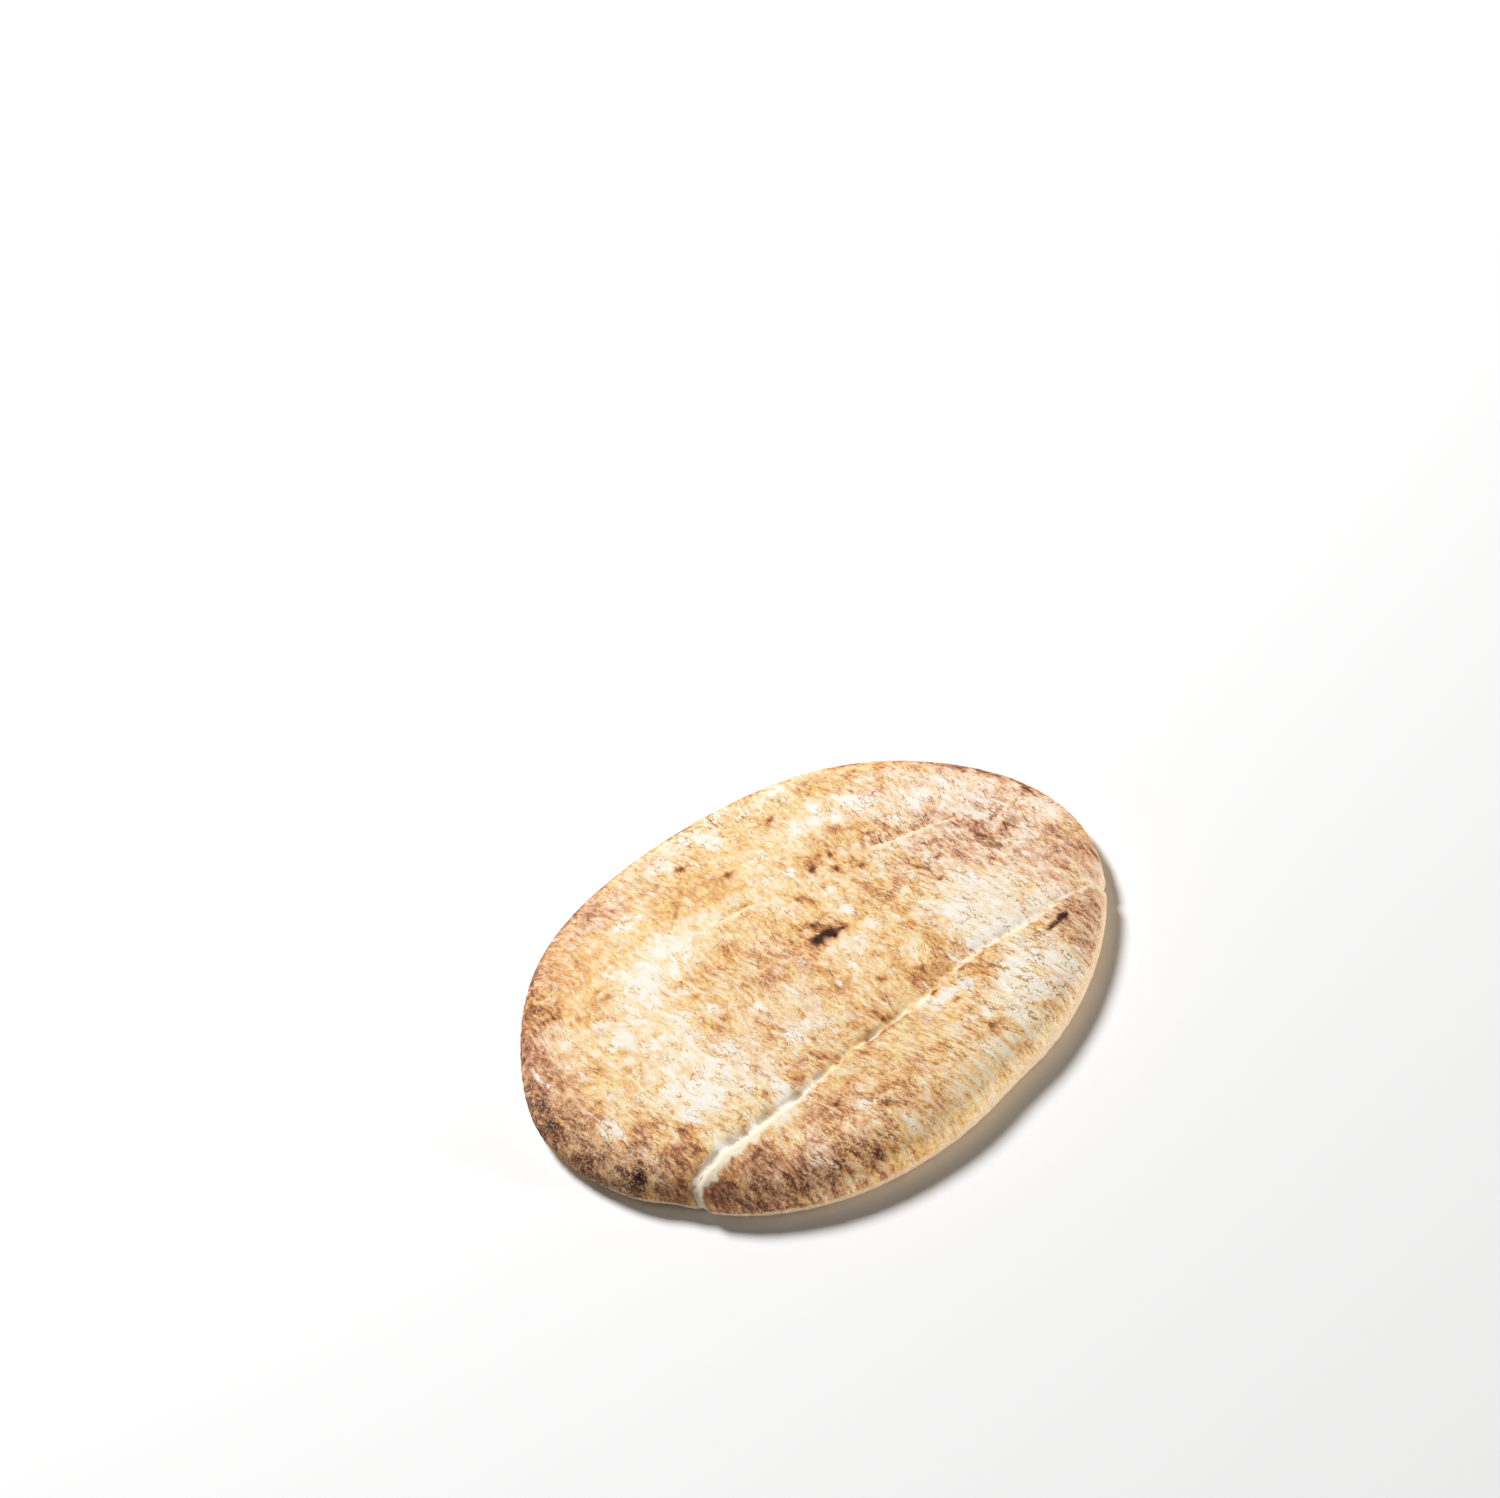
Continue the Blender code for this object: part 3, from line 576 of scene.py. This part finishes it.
# The smooth lip of the main fold, pale crust with a painted highlight on its lit face: place along X, reach
# from the fold's line, and share
MAIN_LIP = (
    (-57, 1.8, 0.7), (-50, 3, 0.9), (-43, 3.8, 1), (-36, 4, 1), (-27, 3.8, 1), (-20, 3.2, 1), (-14, 2, 0.7),
    (-6, 1.4, 0.4), (2, 1.2, 0.25), (12, 1, 0.2), (20, 1.2, 0.3), (25, 2.4, 0.85), (29, 0.9, 0.5),
    (35, 0.8, 0.6), (42, 0.8, 0.65), (56, 0.9, 0.7), (66, 1.4, 0.75), (78, 2, 0.8), (90, 2.4, 0.9),
)
# Stretches of the back crease with a pale lip before it, partly painted highlight, the last one with a
# brown edge of painted shade behind it
BACK_LIPS = ((1, 17), (54, 80))
# How far up its roll the side of the bread stays pale: angle round the edge, and share of the rise
PALE_SIDE = (
    (0, 0), (40, -0.1), (80, -0.2), (130, -0.3), (190, -0.4), (208, -0.32), (222, -0.16), (240, -0.1),
    (262, -0.1), (275, -0.04), (292, 0.08), (310, 0.16), (335, 0.12), (360, 0),
)
# How fast a soft mark fades, and how strong a crisp one is at its middle
SOFT_FADE = 0.9
CRISP_PEAK = 1.45


def marks(across, along, table, soft=True):
    """The sum of soft marks, or the highest of crisp ones, on points given across and along the streaks."""
    table = np.array(table, dtype=float)
    table[:, :2] = np.column_stack(streak_frame(*table[:, :2].T))
    total = np.zeros_like(across)
    for middle_across, middle_along, half_across, half_along, strength in table:
        distance = np.hypot((across - middle_across) / half_across, (along - middle_along) / half_along)
        if soft:
            total += strength * np.exp(-SOFT_FADE * distance ** 2)
        else:
            total = np.maximum(total, strength * (CRISP_PEAK - distance))
    return total / 100.0


def looked_up(value, table, column=1):
    """A column of the table at a value of its first one, straight in between."""
    columns = np.array(table).T
    return np.interp(value, columns[0], columns[column])


# How deep the fine grain is, and the coarser one of the rim, which ends at a depth from the edge
GRAIN_DEPTH = 0.03
RIM_GRAIN_DEPTH = 0.16
RIM_GRAIN_END = 4.0


class Crust:
    """Every vertex's place and paint."""

    def __init__(self, points, top_points):
        self.x, self.y = points.T
        self.on_top = np.arange(len(points)) < top_points
        self.angle = angle_of(self.x, self.y)
        self.depth = depth_from_edge(self.x, self.y)
        lines = [smooth_route(fold.route, LINE_SPACING) for fold in FOLDS]
        self.folds = {fold: beside_line(self.x, self.y, line) for fold, line in zip(FOLDS, lines)}
        self.across, self.along = streak_frame(self.x, self.y)
        self.bent = self.across * (1.0 - STREAK_FAN * self.along)
        self.bent -= STRIP_BEND * np.maximum(self.folds[MAIN_FOLD][0], 0.0)
        self.lip_share = looked_up(self.x, MAIN_LIP, 2)
        self.lip = self.lips()
        self.side = self.pale_side()
        self.pleats()

    def cloud(self, size, seed):
        """Noise without a grain, in two octaves, with spots about the given size."""
        coarse = lattice_noise(self.x / size, self.y / size, seed)
        fine = lattice_noise(self.x / (0.47 * size) + 31.7, self.y / (0.47 * size) + 12.9, seed + 1)
        return coarse + 0.5 * fine

    def streaks(self, width, length, seed):
        """Noise in streaks of the given width and length."""
        return lattice_noise(self.bent / width + 57.3, self.along / length + 23.1, seed)

    def lips(self):
        """Share of the smooth lips along the folds, pale crust with a painted highlight where they face the
        light.
        """
        fray = 0.8 * self.streaks(1.8, 5.0, 71) + 0.5 * self.cloud(5.0, 73)
        offset, length = self.folds[MAIN_FOLD]
        end = looked_up(self.x, MAIN_LIP)
        main = ramp(offset + fray, -0.7, 0.0) * ramp(offset + 2.0 * fray, end + 0.7, end - 0.6)
        broken = np.interp(self.x, (-20.0, -8.0), (1.0, 0.0))
        broken = np.maximum(broken, ramp(self.cloud(3.0, 89), -0.7, 0.1))
        main *= broken * shown_share(MAIN_FOLD.span, length) * self.lip_share
        offset, length = self.folds[BACK_FOLD]
        back = ramp(offset + fray, -0.2, 0.4) * ramp(offset + 2.0 * fray, 3.0, 0.9)
        return np.maximum(main, 0.75 * back * shown_share(BACK_LIPS, length))

    def pale_side(self):
        """Share of the pale side band, whose upper end frays."""
        climbed = np.where(self.on_top, roll(self.depth, TOP_ROLL), -roll(self.depth, FOOT_ROLL))
        climbed += 0.07 * self.cloud(2.6, 75)
        end = looked_up(self.angle, PALE_SIDE)
        return ramp(climbed, end + 0.22, end - 0.1)

    def pleats(self):
        long = self.streaks(1.8, 6.5, 21)
        short = self.streaks(0.95, 2.8, 23)
        broad = self.streaks(4.6, 12.0, 25)
        self.valley = within(0.55 * mound(long, 0.2) + 0.45 * mound(short, 0.2))
        self.ridge = within(0.5 + 0.7 * long + 0.5 * short + 0.3 * broad)
        strength = np.minimum(PLEAT_DEPTH + marks(self.across, self.along, PLEAT_MARKS), DEEPEST_PLEAT)
        self.strength = strength * (1.0 - 0.85 * np.maximum(self.lip, self.side))

    def pressed(self):
        """How far the fine relief is pressed in."""
        grain = GRAIN_DEPTH * np.maximum(1.0 + self.cloud(0.9, 81), 0.0)
        grain += RIM_GRAIN_DEPTH * (1.0 + self.cloud(2.2, 83)) * outward(self.depth, RIM_GRAIN_END)
        relief = np.maximum(SKIN + self.strength * (0.65 - 0.5 * self.ridge + 0.55 * self.valley), SKIN)
        return grain + relief * np.where(self.on_top, 1.0, ramp(self.depth, 4.0, 1.0))

    def plateau(self):
        """Height of the top where the edge's roll doesn't lower it."""
        height = BODY_THICKNESS + pit_relief(self.x, self.y) + bumps(self.x, self.y, SWELLS)
        strands = lattice_noise(self.across / 2.6 + 57.3, self.along / 20.0 + 23.1, 91)
        strands = 0.15 + 0.55 * ramp(strands, -0.25, 0.25)
        for fold, (offset, length) in self.folds.items():
            height += fold_relief(fold, offset, length, strands)
        return height

    def points(self):
        pressed = self.pressed()
        top = NOSE_HEIGHT + (self.plateau() - NOSE_HEIGHT) * roll(self.depth, TOP_ROLL)
        foot = NOSE_HEIGHT * (1.0 - roll(self.depth, FOOT_ROLL)) + bumps(self.x, self.y, FOOT_HOLLOWS)
        width = np.where(self.on_top, TOP_ROLL, FOOT_ROLL)
        shrunk = 1.0 - pressed * outward(self.depth, width) / np.hypot(self.x, self.y)
        downward = pressed * roll(self.depth, width) * np.where(self.on_top, 1.0, -1.0)
        z = np.maximum(np.where(self.on_top, top, foot) - downward, 0.0)
        return np.column_stack((self.x * shrunk, self.y * shrunk, z))

    def toast(self, pale):
        """How brown the crust is, from 0 to 1."""
        frayed = self.along + 2.4 * self.streaks(1.5, 6.0, 31) + 1.2 * self.cloud(7.0, 33)
        shifted = self.across + 0.8 * self.cloud(5.0, 35)
        rim = looked_up(self.angle, RIM_BROWN) * mound(self.depth, 5.0)
        # The browning takes in the painted shade along the back crease's groove
        brown = marks(shifted, frayed, TOAST_MARKS) + self.back_crease_shade() + rim
        brown = 0.45 * np.tanh(brown / 0.37)
        plain = (1.0 - self.lip_share) * ramp(self.cloud(4.0, 87), -0.9, 0.1)
        brown += 0.42 * plain * mound(self.folds[MAIN_FOLD][0] - 0.8, 1.3)
        value = TOAST_BASE + brown - 0.12 * pale
        value += 0.09 * self.cloud(14.0, 37) + 0.09 * self.cloud(4.5, 39)
        value += (0.1 + 0.28 * brown) * (1.5 * (self.valley - 0.35) - 0.9 * (self.ridge - 0.5))
        return value + marks(self.across + 0.3 * self.cloud(2.0, 41), self.along, DOT_MARKS)

    def back_crease_shade(self):
        """Painted shade: a browned edge along the groove behind the back crease."""
        offset, length = self.folds[BACK_FOLD]
        near = np.exp(np.minimum(offset, 0.0) / 3.6) * ramp(offset, 0.4, -0.2)
        return 0.3 * near * shown_share(BACK_LIPS[1:], length)

    def foot_toast(self):
        value = 0.42 + 0.14 * self.cloud(18.0, 51) + 0.1 * self.cloud(6.0, 53)
        return value + 0.25 * within(self.cloud(11.0, 55) - 0.45)

    def paint(self):
        """The colour fields of the material, by name."""
        frayed = self.along + 1.8 * self.streaks(1.2, 5.0, 61) + self.cloud(4.0, 63)
        shifted = self.across + 0.9 * self.cloud(3.0, 65)
        near = (self.across + 0.5 * self.cloud(2.0, 67), self.along + 0.5 * self.cloud(2.0, 69))
        rosy = marks(self.across, self.along, ROSY_MARKS) + 0.35 * self.cloud(7.0, 77)
        rosy += 0.35 * self.streaks(2.4, 8.0, 79)
        pale = np.minimum(marks(shifted, frayed, PALE_MARKS), 1.1)
        flour = marks(shifted, frayed, FLOUR_MARKS, soft=False)
        thick = 0.4 * np.clip(flour - 1.0, 0.0, 0.5)
        # Each on the top and on the underside
        fields = {
            "toast": (self.toast(pale), self.foot_toast()),
            "flour": (np.minimum(0.68 * flour + 0.32 * pale, 0.64) + thick, 0.15),
            "scorch": (within(marks(*near, CHAR_MARKS)), 0.0),
            "rosy": (within(rosy), 0.2),
            "fleck": (within(marks(self.across, self.along, FLECK_MARKS)), 0.2),
            # lip: pale crust, with a painted highlight where the folds' lips face the light
            "lip": (self.lip, 0.0),
            "side": (self.side, 0.0),
            # hollow: greyer floors of the pits, partly thin crust and partly painted shade
            "hollow": (within(marks(*near, PIT_MARKS)) * (1.0 - self.lip), 0.0),
            "ridge": (self.ridge, 0.5),
            "grain": (within(self.strength / DEEPEST_PLEAT), 0.4),
        }
        under = np.where(self.on_top, 0.0, ramp(self.depth, 1.0, 4.5))
        return {name: top + under * (foot - top) for name, (top, foot) in fields.items()}


# How much lengths along the streaks, and heights, count in the place of the weave's spots
WEAVE_LENGTH = 0.28
WEAVE_HEIGHT = 0.5
# Where the texture holds the top and the underside, laid flat: middle and radius of each disc
TOP_DISC = (0.36, 0.36, 0.355)
FOOT_DISC = (0.775, 0.775, 0.22)
ARC_STEPS = 200


def rolled_length(rolled, width, height):
    """Length of a round edge's section, from where it starts to roll to this share of its width."""
    turns = np.linspace(0.0, 0.5 * math.pi, ARC_STEPS)
    steps = np.hypot(width * np.cos(turns), height * np.sin(turns)) * turns[1]
    lengths = np.concatenate(((0.0,), np.cumsum(0.5 * (steps[1:] + steps[:-1]))))
    return np.interp(np.arcsin(rolled), turns, lengths)


def laid_flat(crust, disc, width, height):
    """Every vertex in a disc of the texture, with the round edge rolled out."""
    distance = np.hypot(crust.x, crust.y)
    rolled = outward(crust.depth, width)
    flat = distance - rolled * width + rolled_length(rolled, width, height)
    scale = disc[2] / flat.max() * flat / np.maximum(distance, 0.001)
    return np.column_stack((disc[0] + scale * crust.x, disc[1] + scale * crust.y))


def add_field(mesh, name, kind, key, values):
    layer = mesh.attributes.new(name, kind, "POINT")
    layer.data.foreach_set(key, values.astype(np.float32).ravel())


def add_object(name, data):
    item = bpy.data.objects.new(name, data)
    bpy.context.scene.collection.objects.link(item)
    return item


def build_bread():
    points, top_points, top_faces, foot_faces = surface()
    crust = Crust(points, top_points)
    points = crust.points()
    edge = ring(0.0)
    points[:, :2] -= 0.5 * (edge.min(axis=0) + edge.max(axis=0))
    mesh = bpy.data.meshes.new("pita_crust")
    mesh.from_pydata((points * MM).tolist(), [], np.concatenate((top_faces, foot_faces)).tolist())
    mesh.update()
    mesh.shade_smooth()
    top = laid_flat(crust, TOP_DISC, TOP_ROLL, BODY_THICKNESS - NOSE_HEIGHT)[top_faces.ravel()]
    foot = laid_flat(crust, FOOT_DISC, FOOT_ROLL, NOSE_HEIGHT)[foot_faces.ravel()]
    corners = np.concatenate((top, foot)).astype(np.float32)
    mesh.uv_layers.new(name="OFBake").data.foreach_set("uv", corners.ravel())
    for name, values in crust.paint().items():
        add_field(mesh, name, "FLOAT", "value", values)
    weave = np.column_stack((crust.bent, crust.along * WEAVE_LENGTH, points[:, 2] * WEAVE_HEIGHT))
    add_field(mesh, "weave", "FLOAT_VECTOR", "vector", weave * MM)
    return add_object("pita_crust", mesh)


def srgb(*values):
    """A colour as the eye's 0 to 255 values, turned to linear light."""
    shares = [value / 255.0 for value in values]
    linear = [share / 12.92 if share <= 0.04045 else ((share + 0.055) / 1.055) ** 2.4 for share in shares]
    return (*linear, 1.0)


# Crust colours from hardly baked to burnt, each with its place on the scale of browning
GOLDEN_STOPS = (
    (0, (249, 240, 219)), (0.18, (249, 229, 186)), (0.33, (246, 210, 148)), (0.47, (236, 184, 117)),
    (0.6, (213, 153, 96)), (0.74, (175, 116, 73)), (0.88, (137, 86, 56)), (1, (100, 60, 39)),
)
ROSY_STOPS = (
    (0, (250, 240, 227)), (0.18, (249, 229, 207)), (0.33, (240, 202, 170)), (0.47, (225, 176, 142)),
    (0.6, (202, 148, 116)), (0.74, (165, 115, 88)), (0.88, (129, 85, 64)), (1, (94, 58, 45)),
)
FLOUR_COLOUR = srgb(252, 246, 235)
FLECK_COLOUR = srgb(232, 206, 172)
LINE_COLOUR = srgb(132, 98, 62)
SCORCH_COLOUR = srgb(44, 20, 8)
# Each of these is mottled from its first colour to its second
# The lip colours are pale crust with a painted highlight on the folds' lit lips
LIP_COLOURS = (srgb(254, 247, 230), srgb(246, 224, 184))
SIDE_COLOURS = (srgb(243, 222, 190), srgb(217, 184, 144))
# The hollow colours are greyer than flour: partly thin crust, partly painted shade in the pits
HOLLOW_COLOURS = (srgb(242, 236, 220), srgb(220, 209, 188))
CRUST_ROUGHNESS = 0.8
FLOUR_ROUGHENING = 0.12
CRUST_SHINE = 0.12
# Swings of a noise at which a wrinkle ends and is whole
WRINKLE_EDGES = (0.055, 0.011)
BUMP_STRENGTH = 0.6
BUMP_DEPTH = 0.22


class Nodes:
    """Short ways to add and link the nodes of a material or a world."""

    def __init__(self, owner):
        owner.use_nodes = True
        self.tree = owner.node_tree

    def fill(self, node, inputs):
        for name, value in inputs.items():
            if isinstance(value, bpy.types.NodeSocket):
                self.tree.links.new(value, node.inputs[name])
            else:
                node.inputs[name].default_value = value

    def shade(self, inputs):
        self.fill(self.tree.nodes["Principled BSDF"], inputs)

    def add(self, kind, inputs, output=0, **settings):
        """The output of a new node with these inputs and settings."""
        node = self.tree.nodes.new(kind)
        for name, value in settings.items():
            setattr(node, name, value)
        self.fill(node, inputs)
        return node.outputs[output]

    def math(self, operation, *values):
        return self.add("ShaderNodeMath", dict(enumerate(values)), operation=operation)

    def times(self, first, second, added=0.0):
        """The first times the second, plus what is added."""
        return self.math("MULTIPLY_ADD", first, second, added)

    def spread(self, noise, width, added=0.0):
        """A noise's swing about its middle, made this wide, plus what is added."""
        return self.times(self.math("SUBTRACT", noise, 0.5), width, added)

    def field(self, name, output="Fac"):
        return self.add("ShaderNodeAttribute", {}, output, attribute_name=name)

    def noise(self, vector, size, detail=2.0, roughness=0.55, distortion=0.0):
        """Noise of spots about size millimetres wide."""
        inputs = {"Vector": vector, "Scale": 1.0 / (size * MM), "Detail": detail, "Roughness": roughness}
        return self.add("ShaderNodeTexNoise", {**inputs, "Distortion": distortion})

    def steps(self, value, low, high):
        inputs = {"Value": value, "From Min": low, "From Max": high}
        return self.add("ShaderNodeMapRange", inputs, interpolation_type="SMOOTHSTEP")

    def mix(self, share, first, second):
        return self.add("ShaderNodeMix", {0: share, 6: first, 7: second}, 2, data_type="RGBA")

    def colour_ramp(self, value, stops):
        node = self.tree.nodes.new("ShaderNodeValToRGB")
        self.fill(node, {0: value})
        elements = node.color_ramp.elements
        while len(elements) < len(stops):
            elements.new(0.5)
        for element, (place, colour) in zip(elements, stops):
            element.position = place
            element.color = srgb(*colour)
        return node.outputs[0]


class CrustNodes(Nodes):
    """The crust's fine textures, and what they break up."""

    def __init__(self, material):
        super().__init__(material)
        self.place = self.add("ShaderNodeTexCoord", {}, "Object")
        weave = self.field("weave", "Vector")
        self.grain = self.field("grain")
        self.streak = self.noise(weave, 0.62, distortion=0.3)
        self.band = self.noise(weave, 1.7, distortion=0.4)
        self.speck = self.noise(self.place, 0.5, detail=3.0, roughness=0.65)
        broken = self.steps(self.noise(weave, 2.2, detail=1.0), 0.44, 0.6)
        swing = self.spread(self.noise(weave, 1.15, detail=1.0, distortion=0.15), 1.0)
        # Thin broken lines where that noise crosses its middle
        self.wrinkle = self.times(self.steps(self.math("ABSOLUTE", swing), *WRINKLE_EDGES), broken)
        scorch = self.field("scorch")
        self.scorch = self.spread(self.streak, scorch, scorch)

    def browning(self):
        """Place on the scale of browning."""
        value = self.field("toast")
        swings = (self.band, 0.9, 0.3), (self.streak, 0.8, 0.35), (self.speck, 0.25, 0.1)
        for noise, with_grain, always in swings:
            value = self.spread(noise, self.times(self.grain, with_grain, always), value)
        value = self.times(self.wrinkle, self.times(self.grain, 0.15, 0.05), value)
        return self.times(self.scorch, 0.55, value)

    def flour(self):
        """Share that flour covers."""
        value = self.times(self.field("ridge"), 0.5, self.field("flour"))
        for noise, width in ((self.speck, 0.75), (self.streak, 1.3), (self.band, 1.3)):
            value = self.spread(noise, width, value)
        value = self.times(self.wrinkle, -0.6, value)
        burden = self.math("MAXIMUM", self.math("SUBTRACT", self.field("toast"), 0.42), 0.0)
        return self.times(self.steps(self.times(burden, -1.1, value), 0.38, 0.98), 0.95)

    def layers(self, flour):
        """Share and colour of each layer over the browned crust, from the lowest."""
        flecks = self.steps(self.noise(self.place, 0.7, detail=1.0), 0.53, 0.66)
        line = self.times(self.wrinkle, self.times(self.grain, 0.42, 0.1))
        line = self.spread(self.speck, self.times(self.grain, 0.7, 0.7), line)
        side = self.steps(self.spread(self.streak, 1.5, self.field("side")), 0.25, 0.75)
        mottle = self.steps(self.speck, 0.35, 0.68)
        return (
            (flour, FLOUR_COLOUR),
            (self.times(self.times(flecks, self.field("fleck")), 0.85), FLECK_COLOUR),
            (line, LINE_COLOUR),
            (side, self.mix(mottle, *SIDE_COLOURS)),
            # the lip layer paints a highlight on the lit lips of the folds
            (self.field("lip"), self.mix(mottle, *LIP_COLOURS)),
            # the hollow layer paints shade, with thin crust, into the pits behind the main fold
            (self.steps(self.field("hollow"), 0.1, 0.7), self.mix(mottle, *HOLLOW_COLOURS)),
            (self.steps(self.scorch, 0.3, 1.15), SCORCH_COLOUR),
        )

    def bump(self):
        height = self.times(self.streak, 0.6, self.times(self.speck, 0.7))
        height = self.times(self.wrinkle, -0.4, height)
        inputs = {"Height": height, "Strength": BUMP_STRENGTH, "Distance": BUMP_DEPTH * MM}
        return self.add("ShaderNodeBump", inputs)


def crust_material():
    material = bpy.data.materials.new("pita_crust")
    nodes = CrustNodes(material)
    browning = nodes.browning()
    golden = nodes.colour_ramp(browning, GOLDEN_STOPS)
    colour = nodes.mix(nodes.field("rosy"), golden, nodes.colour_ramp(browning, ROSY_STOPS))
    flour = nodes.flour()
    for share, shade in nodes.layers(flour):
        colour = nodes.mix(share, colour, shade)
    roughness = nodes.times(flour, FLOUR_ROUGHENING, CRUST_ROUGHNESS)
    nodes.shade({"Base Color": colour, "Roughness": roughness, "Specular IOR Level": CRUST_SHINE,
                 "Normal": nodes.bump()})
    return material


FLOOR_SIZE = 8.0
FLOOR_COLOUR = (0.93, 0.93, 0.93, 1.0)
FLOOR_ROUGHNESS = 0.7
FLOOR_SHINE = 0.2
CAMERA_PLACE = Vector((-0.81, -536.9, 441.86)) * MM
CAMERA_AIM = Vector((13.64, 124.91, 0.0)) * MM
CAMERA_ROLL = math.radians(-24.42)
CAMERA_LENS = 57.09
FILL_STRENGTH = 0.05
FILL_COLOUR = (1.0, 0.98, 0.96)
# Name, place, size, power and colour of each lamp
LAMPS = (
    ("key", (-0.45, 1.6, 1.72), 0.7, 76.5, (1.0, 1.0, 1.0)),
    ("front", (1.9, -2.0, 0.22), 0.4, 53.0, FILL_COLOUR),
)


def add_floor():
    half = 0.5 * FLOOR_SIZE
    corners = [(-half, -half, 0), (half, -half, 0), (half, half, 0), (-half, half, 0)]
    mesh = bpy.data.meshes.new("floor")
    mesh.from_pydata(corners, [], [(0, 1, 2, 3)])
    material = bpy.data.materials.new("floor")
    look = {"Base Color": FLOOR_COLOUR, "Roughness": FLOOR_ROUGHNESS, "Specular IOR Level": FLOOR_SHINE}
    Nodes(material).shade(look)
    mesh.materials.append(material)
    floor = add_object("floor", mesh)


def aimed(place, target, turn=0.0):
    """A placement that looks from place to target, turned about that line."""
    facing = (target - place).to_track_quat("-Z", "Y").to_matrix().to_4x4()
    return Matrix.Translation(place) @ facing @ Matrix.Rotation(turn, 4, "Z")


def add_lamp(name, place, size, power, colour):
    light = bpy.data.lights.new(name, "AREA")
    light.color = colour
    light.shape = "DISK"
    light.size = size
    light.energy = power
    add_object(name, light).matrix_world = aimed(Vector(place), Vector())


def add_light():
    for lamp in LAMPS:
        add_lamp(*lamp)
    world = bpy.data.worlds.new("studio")
    nodes = Nodes(world)
    nodes.fill(nodes.tree.nodes["Background"], {"Color": (*FILL_COLOUR, 1.0), "Strength": FILL_STRENGTH})
    bpy.context.scene.world = world


def add_camera():
    data = bpy.data.cameras.new("camera")
    data.lens = CAMERA_LENS
    camera = add_object("camera", data)
    camera.matrix_world = aimed(CAMERA_PLACE, CAMERA_AIM, CAMERA_ROLL)
    bpy.context.scene.camera = camera


bread = build_bread()
bread.data.materials.append(crust_material())
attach(bread, "root")
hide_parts("pita_bread")
add_floor()
add_light()
add_camera()
bpy.context.scene.view_settings.view_transform = "Standard"
